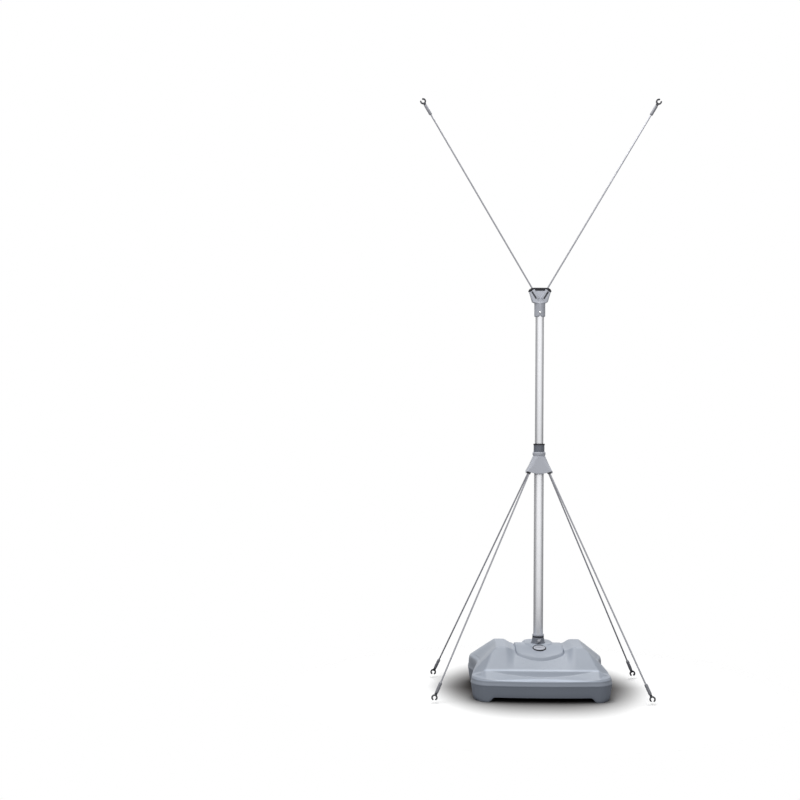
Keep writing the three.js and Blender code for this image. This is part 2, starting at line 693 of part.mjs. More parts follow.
// Rod frames
function legFrame(side, end) {
  const azimuth = Math.atan2(end * Math.sin(degToRad(legAzimuth)), side * Math.cos(degToRad(legAzimuth)));
  const outward = new THREE.Vector3(Math.cos(azimuth), Math.sin(azimuth), 0);
  const down = new THREE.Vector3(0, 0, -Math.cos(degToRad(legLean)));
  const direction = outward.clone().multiplyScalar(Math.sin(degToRad(legLean))).add(down);
  const pivot = outward.clone().multiplyScalar(legPivotRadius).setZ(legPivotHeight);
  const hinge = new THREE.Vector3(-outward.y, outward.x, 0);
  const forkSide = new THREE.Vector3(0, side, 0);
  return { pin: frameAlong(pivot, direction, hinge), fork: frameAlong(pivot, direction, forkSide), azimuth };
}
function armFrame(side) {
  const lean = degToRad(armLean);
  const direction = new THREE.Vector3(side * Math.sin(lean), 0, Math.cos(lean));
  const pivot = new THREE.Vector3(side * armPivotOffset, 0, armPivotHeight);
  const frame = frameAlong(pivot, direction, new THREE.Vector3(0, side, 0));
  return { pin: frame, fork: frame };
}
const legs = Object.entries(ends).flatMap(([end, along]) => Object.entries(sides)
  .map(([side, across]) => ({ name: `${end}_${side}`, ...legFrame(across, along) })));
const arms = Object.entries(sides).map(([side, across]) => ({ name: side, ...armFrame(across) }));

// Lower hub
const hubCounts = [3, 4, 3];
function skirtLoop(share, inset, drop = 0) {
  const across = lerp(skirtTopWidth, skirtWidth, share) / 2 - inset;
  const along = lerp(skirtTopWidth, skirtDepth, share) / 2 - inset;
  const corner = lerp(skirtTopWidth / 2 - skirtWall, skirtCorner, smooth(share)) - inset;
  const loop = roundedLoop({ halfWidth: across, halfDepth: along, cornerX: corner }, hubCounts);
  return loop.map(({ x, y }) => {
    const lift = skirtCornerLift * share * Math.abs(x * y) / (across * along);
    return new THREE.Vector3(x, y, skirtTop - skirtHeight * share + lift - drop);
  });
}
const hollowStart = skirtRoof / skirtHeight;
const skirtRingShares = [0, 0.4, 1];
const skirtOuter = loft(skirtRingShares.map((share) => skirtLoop(share, 0)));
const skirtInner = loft([
  ...skirtRingShares.map((share) => skirtLoop(lerp(hollowStart, 1, share), skirtWall)),
  skirtLoop(1, skirtWall, cutOverrun + skirtCornerLift),
]);
const coreRadius = socketInner + hubCoreWall;
const hubCore = disc(coreRadius, skirtBottom + cutOverrun, skirtTop);
const headFoot = skirtTop - skirtRoof / 2;
const flangeLow = hubTop - hubFlangeHeight;
const hubHead = revolve([
  [0, headFoot], [hubNeckRadius, headFoot], [hubNeckRadius, flangeLow - hubFlangeChamfer],
  [hubFlangeRadius, flangeLow], [hubFlangeRadius, hubTop - hubFlangeChamfer],
  [hubFlangeRadius - hubFlangeChamfer, hubTop], [0, hubTop],
]);
const earOffset = legEyeThickness / 2 + runGap + earWidth / 2;
const earLow = legPivotHeight - earDrop;
const earHeight = headFoot - earLow;
const earReach = skirtWidth / 2;
const earBlocks = legs.flatMap(({ azimuth }) => [-earOffset, earOffset].map((offset) => {
  const ear = block(earReach, earWidth, earHeight, socketInner + earReach / 2, offset);
  return ear.translate(0, 0, earLow + earHeight / 2).rotateZ(azimuth);
}));
const legPinLength = legEyeThickness + 2 * (runGap + earWidth);

// A disc centred on a hinge's pin line
function pinDisc(radius, length, turns, place) {
  return towardFront(disc(radius, -length / 2, length / 2, turns)).applyMatrix4(place);
}
const holeRadius = pinRadius + fitGap;
const legPinHoles = legs.map(({ pin }) => pinDisc(holeRadius, legPinLength + 2 * fitGap, fewSteps, pin));
const slotRadius = legShankRadius + runGap;
const slotShape = alongX(disc(slotRadius, eyeRadius, skirtHeight, fewSteps));
const rodSlots = legs.map(({ pin }) => slotShape.clone().applyMatrix4(pin));
const roomWidth = legEyeThickness + 2 * runGap;
const eyeRooms = legs.map(({ pin }) => pinDisc(eyeRadius + runGap, roomWidth, steps, pin));
const hubBore = disc(socketInner, skirtBottom, hubTop + cutOverrun, fineSteps);
const earSolid = joined(...earBlocks).intersect(solid(skirtOuter));
const hubShell = joined(without(skirtOuter, skirtInner), hubCore, hubHead, earSolid);
const legCuts = [...legPinHoles, ...rodSlots, ...eyeRooms];
addPiece('lower_hub', without(hubShell, hubBore, screwBore, ...legCuts), 'hub');
const screwSeat = hubFlangeRadius + fitGap;
const hubScrew = joined(
  disc(hubScrewHead, screwSeat, screwSeat + hubScrewHeadHeight, fewSteps),
  disc(hubScrewRadius, lowerTubeInner + fitGap, hubFlangeRadius + hubScrewHeadHeight / 2, fewSteps),
);
const screwPlace = new THREE.Matrix4().makeRotationX(-quarterTurn).setPosition(0, 0, screwHeight);
addPiece('hub_screw', hubScrew, 'steel', screwPlace);

// Upper hub
function fanLoop(width, depth, corner, height) {
  const size = { halfWidth: width / 2, halfDepth: depth / 2, cornerX: corner };
  return roundedLoop(size, hubCounts).map(({ x, y }) => new THREE.Vector3(x, y, height));
}
const sleeveWidth = 2 * yHubSleeveRadius;
const fan = loft([
  fanLoop(sleeveWidth, sleeveWidth, yHubSleeveRadius - yHubBevel, yHubShoulder),
  fanLoop(yHubWingWidth, yHubWingDepth, yHubCorner, yHubWing),
  fanLoop(yHubWidth, yHubDepth, yHubCorner, yHubTop),
]);
const yHubSleeve = revolve([
  [0, yHubBottom], [yHubSleeveRadius - yHubBevel, yHubBottom], [yHubSleeveRadius, yHubBottom + yHubBevel],
  [yHubSleeveRadius, yHubShoulder + cutOverrun], [0, yHubShoulder + cutOverrun],
], fineSteps);
const armPocket = prism([
  [-pocketFloorWidth / 2, pocketFloor], [pocketFloorWidth / 2, pocketFloor],
  [pocketMouthWidth / 2, yHubTop + cutOverrun], [-pocketMouthWidth / 2, yHubTop + cutOverrun],
], pocketDepth);
const windowMiddle = windowStart + windowLength / 2;
const armWindows = arms.map(({ pin }) => (
  block(windowLength, yHubWingDepth, windowWidth, windowMiddle, 0, -windowShift).applyMatrix4(pin)
));
const armPinHoles = arms.map(({ pin }) => pinDisc(holeRadius, armPinLength + 2 * fitGap, fewSteps, pin));
const sleeveBore = disc(upperBore, yHubBottom - cutOverrun, upperTubeTop + fitGap, fineSteps);
const notch = block(notchWidth, yHubSleeveRadius, 2 * notchHeight);
notch.translate(0, -upperTubeRadius - yHubSleeveRadius / 2, yHubBottom);
const armCuts = [armPocket, ...armWindows, ...armPinHoles];
addPiece('upper_hub', without(joined(fan, yHubSleeve), ...armCuts, sleeveBore, notch, buttonHole), 'hub');

const trimBottom = yHubTop + fitGap;
const trimTop = trimBottom + trimHeight;
const armSlant = degToRad(armLean);
const rodShift = (trimTop - armPivotHeight) * Math.tan(armSlant);
const mouthHalf = armPivotOffset + rodShift + rodRadius / Math.cos(armSlant) + fitGap;
const trimWidth = yHubWidth + 2 * trimProud;
const trimDepth = yHubDepth + 2 * trimProud;
const trimBody = loft([
  fanLoop(trimWidth, trimDepth, yHubCorner + trimProud, trimBottom),
  fanLoop(trimWidth, trimDepth, yHubCorner + trimProud, trimTop - trimRound),
  fanLoop(trimWidth - trimTaper, trimDepth - trimProud, yHubCorner, trimTop),
]);
const mouth = block(2 * mouthHalf, pocketDepth, trimHeight + 2 * cutOverrun);
mouth.translate(0, 0, (trimBottom + trimTop) / 2);
addPiece('hub_trim', without(trimBody, mouth), 'rubber');

// Snap button and its clip inside the tube
const buttonFace = yHubSleeveRadius + buttonProud;
const flangeBack = buttonSeat - buttonFlange;
addPiece('snap_button', towardFront(revolve([
  [0, flangeBack], [buttonFlangeRadius, flangeBack], [buttonFlangeRadius, buttonSeat],
  [buttonRadius, buttonSeat], [buttonRadius, buttonFace - buttonDome],
  [buttonRadius - buttonDome, buttonFace], [0, buttonFace],
])), 'steel', new THREE.Matrix4().makeTranslation(0, 0, buttonHeight));
const clipFront = flangeBack - fitGap;
const clipLow = buttonHeight - clipDrop;
const clipHigh = buttonHeight + clipRise;
const clipTurn = clipFront - clipThickness;
const clipBack = clipReach - clipThickness;
const clipFloor = clipLow + clipThickness;
const clipOutline = [
  [-clipFront, clipHigh], [-clipTurn, clipHigh], [-clipTurn, clipFloor], [clipBack, clipFloor],
  [clipBack, clipHigh], [clipReach, clipHigh], [clipReach, clipLow], [-clipFront, clipLow],
];
addPiece('button_clip', prism(clipOutline, clipWidth).rotateZ(quarterTurn), 'steel');

// Rods, seen from their pivots with local +X along the rod
function eye(thickness, shankRadius, shankLength) {
  const knuckle = towardFront(disc(eyeRadius, -thickness / 2, thickness / 2));
  const shank = alongX(disc(shankRadius, 0, shankLength, fewSteps));
  const pinHole = towardFront(disc(pinRadius + fitGap, -thickness, thickness, fewSteps));
  const rodBore = alongX(disc(rodRadius + fitGap, eyeGrip - fitGap, shankLength + cutOverrun, fewSteps));
  return without(joined(knuckle, shank), pinHole, rodBore);
}
const hornRadius = (clawOuter - clawInner) / 2;
const hornLine = (clawOuter + clawInner) / 2;
function claw(reach) {
  const start = degToRad(clawLongTip);
  const finish = degToRad(clawShortTip) + 2 * Math.PI;
  const outline = new THREE.Shape();
  outline.absarc(0, 0, clawOuter, start, finish, false);
  outline.absarc(0, 0, clawInner, finish, start, true);
  const settings = { depth: clawThickness, bevelEnabled: false, curveSegments: fewSteps };
  const arc = new THREE.ExtrudeGeometry(outline, settings).rotateX(quarterTurn);
  const tips = [start, finish].map((angle) => {
    const tip = towardFront(disc(hornRadius, -clawThickness / 2, clawThickness / 2, fewSteps));
    return tip.translate(reach + hornLine * Math.cos(angle), 0, hornLine * Math.sin(angle));
  });
  const ferruleEnd = reach - clawReach;
  const neckLength = clawReach - hornLine - fitGap;
  const neck = block(neckLength, clawThickness, clawNeckWidth, ferruleEnd + fitGap + neckLength / 2);
  const pegStart = ferruleEnd - ferruleLength * (1 - ferruleRodShare) + fitGap;
  const peg = alongX(disc(pegRadius, pegStart, ferruleEnd + neckLength / 2, fewSteps));
  return joined(arc.translate(reach, clawThickness / 2, 0), ...tips, neck, peg);
}
function addRod(kind, { name, pin, fork }, { thickness, shankRadius, shankLength, reach }) {
  const ferruleEnd = reach - clawReach;
  const ferruleStart = ferruleEnd - ferruleLength;
  const rodEnd = ferruleStart + ferruleLength * ferruleRodShare;
  const grip = rodRadius + fitGap;
  const pegBore = pegRadius + fitGap;
  const nose = ferruleRadius - ferruleNose;
  addPiece(`${kind}_eye_${name}`, eye(thickness, shankRadius, shankLength), 'darkPlastic', pin);
  addPiece(`${kind}_rod_${name}`, alongX(disc(rodRadius, eyeGrip, rodEnd - fitGap, fewSteps)), 'rod', pin);
  addPiece(`${kind}_ferrule_${name}`, alongX(revolve([
    [grip, ferruleStart], [nose, ferruleStart], [ferruleRadius, ferruleStart + ferruleNose],
    [ferruleRadius, ferruleEnd - ferruleNose], [nose, ferruleEnd], [pegBore, ferruleEnd],
    [pegBore, rodEnd], [grip, rodEnd], [grip, ferruleStart],
  ], fewSteps)), 'ferrule', pin);
  addPiece(`${kind}_hook_${name}`, claw(reach), 'darkPlastic', fork);
}
const legSizes = {
  thickness: legEyeThickness,
  shankRadius: legShankRadius,
  shankLength: legShankLength,
  reach: legReach,
};
const armSizes = {
  thickness: armEyeThickness,
  shankRadius: armShankRadius,
  shankLength: armShankLength,
  reach: armReach,
};
for (const leg of legs) {
  addPiece(`hub_pin_${leg.name}`, pinDisc(pinRadius, legPinLength, fewSteps, leg.pin), 'steel');
  addRod('leg', leg, legSizes);
}
for (const arm of arms) {
  addPiece(`arm_pin_${arm.name}`, pinDisc(pinRadius, armPinLength, fewSteps, arm.pin), 'steel');
  addRod('arm', arm, armSizes);
}

export default group;
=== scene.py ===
"""Looks of a water-weighted X banner stand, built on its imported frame.

Metres, +Z up. The origin is on the floor under the pole's axis, +X is to the right and +Y away from
the viewer.
"""

import logging
import math
from dataclasses import dataclass, field
from enum import Enum
from typing import Sequence

import bpy
from mathutils import Matrix, Vector


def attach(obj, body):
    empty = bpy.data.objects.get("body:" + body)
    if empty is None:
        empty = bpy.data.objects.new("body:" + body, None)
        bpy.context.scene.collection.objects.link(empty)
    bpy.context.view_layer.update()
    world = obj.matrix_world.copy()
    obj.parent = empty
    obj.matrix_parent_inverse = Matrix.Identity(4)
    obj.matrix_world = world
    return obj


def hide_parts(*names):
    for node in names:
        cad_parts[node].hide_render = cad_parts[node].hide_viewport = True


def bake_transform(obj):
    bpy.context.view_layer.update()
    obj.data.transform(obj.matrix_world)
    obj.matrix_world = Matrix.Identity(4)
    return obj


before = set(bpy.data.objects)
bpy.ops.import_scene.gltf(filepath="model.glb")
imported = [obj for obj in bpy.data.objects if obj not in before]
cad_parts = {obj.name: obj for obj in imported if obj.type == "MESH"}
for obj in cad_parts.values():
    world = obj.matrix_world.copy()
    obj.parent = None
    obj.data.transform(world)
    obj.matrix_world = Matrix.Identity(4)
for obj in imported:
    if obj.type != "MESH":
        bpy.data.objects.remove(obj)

log = logging.getLogger("banner_stand")
Point = tuple[float, float, float]
Colour = tuple[float, float, float]
MM = 0.001
QUARTER = math.pi / 2
BACK = Vector((0, 1, 0))
MERGED = 0.005 * MM  # vertices closer than this are one
FLAT = math.radians(0.6)  # faces that meet at less than this are one
PIN_EDGE = 0.3 * MM
EDGE_ANGLE = 32.0  # least angle, in degrees, between the faces at a rounded edge
SHADING_MARGIN = 8.0  # how much sharper an edge may be than that and still be shaded smooth
BAR_SEGMENTS = 4


def mix(low: float, high: float, share: float) -> float:
    """Returns the value at a share of the way from low to high."""
    return low + (high - low) * share


def ramp(value: float, low: float, high: float) -> float:
    """Returns how far a value has come from low to high, eased at both ends."""
    t = min(1.0, max(0.0, (value - low) / (high - low)))
    return t * t * (3 - 2 * t)


# Materials


def feed(tree: bpy.types.NodeTree, source: "Source", socket: bpy.types.NodeSocket) -> None:
    """Gives an input a plain value, or links a signal or an output to it.

    Args:
        tree: the tree that the input is in.
        source: the value, signal or output.
        socket: the input.
    """
    if isinstance(source, Signal):
        source = source.socket
    if isinstance(source, bpy.types.NodeSocket):
        tree.links.new(source, socket)
    else:
        socket.default_value = source


def add_node(
    tree: bpy.types.NodeTree, kind: str, settings: dict[str, str], inputs: "dict[str | int, Source]"
) -> bpy.types.Node:
    """Adds a node, its settings set before its inputs.

    Args:
        tree: the tree that it goes in.
        kind: its type, without the leading "ShaderNode".
        settings: its properties.
        inputs: what each input takes.

    Returns:
        The node.
    """
    node = tree.nodes.new(f"ShaderNode{kind}")
    for name, value in settings.items():
        setattr(node, name, value)
    for name, source in inputs.items():
        feed(tree, source, node.inputs[name])
    return node


def coloured(
    tree: bpy.types.NodeTree, share: "Signal", first: "Source", second: "Source"
) -> bpy.types.NodeSocket:
    """Mixes two colours by a signal.

    Args:
        tree: the tree that the colours are in.
        share: 0 for the first and 1 for the second.
        first: a colour, or an output that gives one.
        second: the same.

    Returns:
        The output with the mixed colour.
    """
    first, second = ((*end, 1) if isinstance(end, tuple) else end for end in (first, second))
    inputs = {"A": first, "B": second, "Factor": share}
    return add_node(tree, "Mix", {"data_type": "RGBA"}, inputs).outputs["Result"]


def shades(colour: Colour, contrast: float) -> tuple[Colour, Colour]:
    """Returns a darker and a lighter shade of a colour."""
    return tuple(c * (1 - contrast) for c in colour), tuple(min(1.0, c * (1 + contrast)) for c in colour)


class Signal:
    """An output with arithmetic, so that a pattern reads as a formula."""

    def __init__(self, tree: bpy.types.NodeTree, socket: bpy.types.NodeSocket) -> None:
        """Wraps one output of a tree."""
        self.tree = tree
        self.socket = socket

    def _math(self, operation: str, first: "Source", second: "Source") -> "Signal":
        """Adds a Math node.

        Args:
            operation: the node's operation.
            first: its first input.
            second: its second input.

        Returns:
            The node's output.
        """
        node = add_node(self.tree, "Math", {"operation": operation}, {0: first, 1: second})
        return Signal(self.tree, node.outputs[0])

    def __add__(self, other: "Source") -> "Signal":
        """Returns the sum."""
        return self._math("ADD", self, other)

    def __sub__(self, other: "Source") -> "Signal":
        """Returns the difference."""
        return self._math("SUBTRACT", self, other)

    def __rsub__(self, other: "Source") -> "Signal":
        """Returns the difference, the other way round."""
        return self._math("SUBTRACT", other, self)

    def __mul__(self, other: "Source") -> "Signal":
        """Returns the product."""
        return self._math("MULTIPLY", self, other)

    def __truediv__(self, other: "Source") -> "Signal":
        """Returns the quotient."""
        return self._math("DIVIDE", self, other)

    __radd__, __rmul__ = __add__, __mul__

    def size(self) -> "Signal":
        """Returns the absolute value."""
        return self._math("ABSOLUTE", self, 0.0)

    def power(self, exponent: float) -> "Signal":
        """Returns the signal raised to a power."""
        return self._math("POWER", self, exponent)

    def clamped(
        self, low: float, high: float, to_low: float = 0, to_high: float = 1, eased: bool = False
    ) -> "Signal":
        """Carries the signal from one range to another and holds it there.

        Args:
            low: start of the signal's range.
            high: its end.
            to_low: the value at the start.
            to_high: the value at the end.
            eased: whether the way between them is eased at both ends.

        Returns:
            The carried signal.
        """
        settings = {"interpolation_type": "SMOOTHSTEP" if eased else "LINEAR"}
        ends = {"From Min": low, "From Max": high, "To Min": to_low, "To Max": to_high}
        node = add_node(self.tree, "MapRange", settings, {"Value": self, **ends})
        return Signal(self.tree, node.outputs["Result"])


Source = Signal | bpy.types.NodeSocket | float | tuple[float, ...]


class Shader:
    """A material under construction, with its Principled shader."""

    def __init__(self, name: str, roughness: float, metallic: float = 0.0) -> None:
        """Starts a material with constants on the shader's own inputs.

        Args:
            name: the material's name.
            roughness: its roughness.
            metallic: its share of metal.
        """
        self.material = bpy.data.materials.new(name)
        self.material.use_nodes = True
        self.tree = self.material.node_tree
        self.bsdf = self.tree.nodes["Principled BSDF"]
        self.put("Roughness", roughness)
        self.put("Metallic", metallic)
        self.place = add_node(self.tree, "TexCoord", {}, {}).outputs["Object"]

    def put(self, name: str, source: Source) -> None:
        """Gives one of the shader's inputs a value or a link."""
        feed(self.tree, source, self.bsdf.inputs[name])

    def noise(self, size: float, detail: float = 2.0, stretch: Point = (1, 1, 1)) -> Signal:
        """Adds noise on the piece's own coordinates.

        Args:
            size: width of one blotch, in metres.
            detail: octaves of finer noise.
            stretch: scale of the coordinates along X, Y and Z.

        Returns:
            The noise, about 0.5 on average.
        """
        mapping = add_node(self.tree, "Mapping", {}, {"Vector": self.place, "Scale": stretch})
        inputs = {"Vector": mapping.outputs["Vector"], "Scale": 1 / size, "Detail": detail}
        return Signal(self.tree, add_node(self.tree, "TexNoise", {}, inputs).outputs[0])

    def coordinate(self, axis: str) -> Signal:
        """Returns one of the piece's own coordinates."""
        return Signal(self.tree, add_node(self.tree, "SeparateXYZ", {}, {0: self.place}).outputs[axis])

    def ridge(self, axis: str, middle: float, reach: float) -> Signal:
        """Marks where a coordinate's distance from zero has a value.

        Args:
            axis: the coordinate.
            middle: the value.
            reach: how far from it the mark ends.

        Returns:
            A signal that is 1 at the value and 0 beyond the reach.
        """
        distance = (self.coordinate(axis).size() - middle).size()
        return distance.clamped(0, reach, 1, 0, eased=True)

    def paint(self, dark: Colour, light: Colour, share: Signal) -> None:
        """Colours the surface between two colours by a signal."""
        self.put("Base Color", coloured(self.tree, share, dark, light))

    def rub(self, colour: Colour, share: Signal) -> None:
        """Paints a highlight, bringing the painted surface towards a colour by a signal."""
        painted = self.bsdf.inputs["Base Color"].links[0].from_socket
        self.put("Base Color", coloured(self.tree, share, painted, colour))

    def emboss(self, relief: Signal, depth: float) -> None:
        """Bumps the surface by a signal, with its depth in metres."""
        inputs = {"Distance": depth, "Strength": 1.0, "Height": relief}
        self.put("Normal", add_node(self.tree, "Bump", {}, inputs).outputs["Normal"])


@dataclass(frozen=True)
class MouldedPlastic:
    """Moulded plastic with a fine grain, slight mottling and scuffs, and bands of painted highlight where
    edges would catch the light.
    """

    name: str
    colour: Colour
    roughness: float = 0.45
    grain: float = 0.9 * MM
    relief: float = 0.06 * MM
    mottle: float = 0.07
    scuffs: float = 0.06
    # each band of painted highlight: height, reach, distance from the middle along Y, reach
    painted_highlights: tuple[tuple[float, float, float, float], ...] = ()
    # how much lighter than the plastic the painted highlights are
    rub: float = 1.5
    cloud: float = 60 * MM
    scratch: float = 5 * MM
    scratch_stretch: Point = (1, 0.2, 2.4)
    scratch_span: tuple[float, float] = (0.56, 0.72)
    swing: float = 0.16
    speck_share: float = 0.25
    swell: float = 0.4

    def material(self) -> bpy.types.Material:
        """Builds the material.

        Returns:
            The finished material.
        """
        shader = Shader(self.name, self.roughness)
        cloud = shader.noise(self.cloud, 3)
        speck = shader.noise(self.grain)
        scratch = shader.noise(self.scratch, 4, self.scratch_stretch).clamped(*self.scratch_span)
        tone = cloud * (1 - self.speck_share) + speck * self.speck_share + scratch * self.scuffs
        shader.paint(*shades(self.colour, self.mottle), tone)
        # Painted highlights: the colour is lightened in each band, standing in for light glinting on a
        # rounded edge
        highlight_colour = tuple(min(1.0, c * self.rub) for c in self.colour)
        for height, reach, back, back_reach in self.painted_highlights:
            shader.rub(highlight_colour, shader.ridge("Z", height, reach) * shader.ridge("Y", back, back_reach))
        shader.put("Roughness", self.roughness - self.swing / 2 + speck * self.swing + scratch * self.scuffs)
        shader.emboss(speck + cloud * self.swell, self.relief)
        return shader.material


@dataclass(frozen=True)
class DrawnMetal:
    """Drawn or ground metal, with streaks along the piece's height."""

    name: str
    colour: Colour
    roughness: float = 0.3
    metallic: float = 1.0
    streak: float = 1.2 * MM
    contrast: float = 0.06
    stretch: float = 0.012
    cloud: float = 40 * MM
    wear: float = 7 * MM
    wear_stretch: Point = (1, 1, 0.3)
    wear_span: tuple[float, float] = (0.58, 0.75)
    swing: float = 0.12
    depth: float = 0.01 * MM
    cloud_share: float = 0.3
    dulled: float = 0.08

    def material(self) -> bpy.types.Material:
        """Builds the material.

        Returns:
            The finished material.
        """
        shader = Shader(self.name, self.roughness, self.metallic)
        streaks = shader.noise(self.streak, 2, (1, 1, self.stretch))
        cloud = shader.noise(self.cloud)
        wear = shader.noise(self.wear, 3, self.wear_stretch).clamped(*self.wear_span)
        tone = streaks * (1 - self.cloud_share) + cloud * self.cloud_share
        shader.paint(*shades(self.colour, self.contrast), tone)
        rough = self.roughness - self.swing / 2 + streaks * self.swing + wear * self.dulled
        shader.put("Roughness", rough)
        shader.emboss(streaks, self.depth)
        return shader.material


@dataclass(frozen=True)
class SoftRubber:
    """Dull dark rubber with a faint bloom."""

    name: str
    colour: Colour
    bloom: Colour
    roughness: float = 0.75
    cloud: float = 9 * MM
    bloom_span: tuple[float, float] = (0.45, 0.8)
    grain: float = 0.5 * MM
    relief: float = 0.04 * MM
    swing: float = 0.12
    bloom_most: float = 0.6

    def material(self) -> bpy.types.Material:
        """Builds the material.

        Returns:
            The finished material.
        """
        shader = Shader(self.name, self.roughness)
        cloud = shader.noise(self.cloud, 4)
        shader.paint(self.colour, self.bloom, cloud.clamped(*self.bloom_span, 0, self.bloom_most))
        shader.put("Roughness", self.roughness - self.swing / 2 + cloud * self.swing)
        shader.emboss(shader.noise(self.grain), self.relief)
        return shader.material


class Slot(Enum):
    """The finishes, each named for the material slot that it stands for."""

    TANK = MouldedPlastic(
        "tank_plastic", (0.345, 0.382, 0.445), 0.42, 1.4 * MM, 0.09 * MM, 0.05,
        # painted highlights: one band along the rim, one along the top's front and rear edges
        painted_highlights=((69 * MM, 3.6 * MM, 200 * MM, 170 * MM), (94 * MM, 6 * MM, 150 * MM, 9 * MM)),
    )
    HUB = MouldedPlastic("hub_plastic", (0.48, 0.5, 0.555), 0.4)
    COLLAR = MouldedPlastic("collar_plastic", (0.17, 0.185, 0.22), 0.38)
    DARK = MouldedPlastic("dark_plastic", (0.035, 0.037, 0.045), 0.36)
    RUBBER = SoftRubber("black_rubber", (0.014, 0.014, 0.018), (0.05, 0.05, 0.055))
    TUBE = DrawnMetal("tube_aluminium", (0.78, 0.785, 0.81), 0.32, 0.85)
    ROD = DrawnMetal("rod_steel", (0.36, 0.365, 0.4), 0.3, 0.9, 1.5 * MM, 0.05, 0.6)
    FERRULE = MouldedPlastic(
        "ferrule_plastic", (0.3, 0.305, 0.335), 0.36, 0.5 * MM, 0.02 * MM, mottle=0.03, scuffs=0.03
    )
    BRIGHT = DrawnMetal("bright_steel", (0.72, 0.73, 0.75), 0.2)
    # the bright steel in a darker colour, used for the wing bolt
    TARNISHED = DrawnMetal("bright_steel", (0.36, 0.37, 0.4), 0.34)


MATERIALS: dict[Slot, bpy.types.Material] = {}


def finish_of(slot: Slot) -> bpy.types.Material:
    """Finds a slot's material and makes it on first use.

    Args:
        slot: the finish.

    Returns:
        Its material.
    """
    if slot not in MATERIALS:
        MATERIALS[slot] = slot.value.material()
    return MATERIALS[slot]


# Modelling


def deselect() -> None:
    """Leaves edit mode and clears the selection."""
    if bpy.context.mode != "OBJECT":
        bpy.ops.object.mode_set(mode="OBJECT")
    bpy.ops.object.select_all(action="DESELECT")


def activate(piece: bpy.types.Object) -> None:
    """Selects one piece alone.

    Args:
        piece: the piece.
    """
    deselect()
    piece.select_set(True)
    bpy.context.view_layer.objects.active = piece


def smooth(piece: bpy.types.Object, degrees: float) -> None:
    """Smooths a piece's shading where its faces meet at less than an angle."""
    activate(piece)
    bpy.ops.object.shade_smooth_by_angle(angle=math.radians(degrees))


def settle(
    piece: bpy.types.Object, name: str, slot: Slot, body: str | None, nodes: Sequence[str]
) -> bpy.types.Object:
    """Dresses a finished piece and puts it in place of its solids.

    Args:
        piece: the modelled object, its place still on the object or already in its mesh.
        name: the piece's name.
        slot: its finish.
        body: the moving body that it rides on, or None where it rides on none.
        nodes: the solids that it stands for.

    Returns:
        The same piece.
    """
    activate(piece)
    bpy.ops.object.transform_apply(location=True, rotation=True, scale=True)
    piece.name = name
    piece.data.name = name
    piece.data.materials.clear()
    piece.data.materials.append(finish_of(slot))
    if body:
        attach(piece, body)
    if nodes:
        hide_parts(*nodes)
    deselect()
    log.info("%s: %d faces", name, len(piece.data.polygons))
    return piece


def apply_bevel(piece: bpy.types.Object, width: float, segments: int = 2) -> None:
    """Rounds a piece's edges with an applied Bevel and smooths its shading.

    Args:
        piece: the piece.
        width: width of each rounded edge.
        segments: faces across an edge.
    """
    activate(piece)
    bevel = piece.modifiers.new("edges", "BEVEL")
    bevel.width = width
    bevel.segments = segments
    bevel.limit_method = "ANGLE"
    bevel.angle_limit = math.radians(EDGE_ANGLE)
    bevel.use_clamp_overlap = True
    bpy.ops.object.modifier_apply(modifier=bevel.name)
    smooth(piece, EDGE_ANGLE + SHADING_MARGIN)


def rounded(node: str, edge: float) -> bpy.types.Object:
    """Makes a merged copy of a solid with rounded edges and smooth shading.

    Args:
        node: the solid.
        edge: radius of its rounded edges.

    Returns:
        The copy.
    """
    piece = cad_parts[node].copy()
    piece.data = piece.data.copy()
    piece.parent = None
    piece.matrix_world = Matrix()
    bpy.context.scene.collection.objects.link(piece)
    activate(piece)
    bpy.ops.object.mode_set(mode="EDIT")
    bpy.ops.mesh.select_all(action="SELECT")
    bpy.ops.mesh.remove_doubles(threshold=MERGED)
    bpy.ops.mesh.dissolve_limited(angle_limit=FLAT)
    bpy.ops.object.mode_set(mode="OBJECT")
    apply_bevel(piece, edge)
    return piece


def softened(node: str, name: str, slot: Slot, body: str, edge: float) -> bpy.types.Object:
    """Makes a dressed copy of a solid with rounded edges.

    Args:
        node: the solid.
        name: the new piece's name.
        slot: its finish.
        body: the body that it rides on.
        edge: radius of its rounded edges.

    Returns:
        The new piece.
    """
    return settle(rounded(node, edge), name, slot, body, [node])


def sliced(piece: bpy.types.Object, places: Sequence[float], axis: int = 0) -> None:
    """Adds edge loops where planes across an axis meet a piece.

    Args:
        piece: the piece.
        places: where the planes are.
        axis: 0 for X, 1 for Y and 2 for Z.
    """
    activate(piece)
    bpy.ops.object.mode_set(mode="EDIT")
    for place in places:
        bpy.ops.mesh.select_all(action="SELECT")
        point, normal = [0.0] * 3, [0.0] * 3
        point[axis], normal[axis] = place, 1.0
        bpy.ops.mesh.bisect(plane_co=point, plane_no=normal)
    bpy.ops.object.mode_set(mode="OBJECT")


def bar(size: Point, edge: float, place: Matrix) -> bpy.types.Object:
    """Makes a bar with rounded edges.

    Args:
        size: its width, depth and length.
        edge: radius of its edges.
        place: where its middle goes.

    Returns:
        The bar, its place in its mesh.
    """
    deselect()
    bpy.ops.mesh.primitive_cube_add(size=1)
    piece = bpy.context.object
    piece.scale = size
    bpy.ops.object.transform_apply(location=True, rotation=True, scale=True)
    apply_bevel(piece, edge, BAR_SEGMENTS)
    piece.matrix_world = place
    activate(piece)
    bpy.ops.object.transform_apply(location=True, rotation=True, scale=True)
    return piece


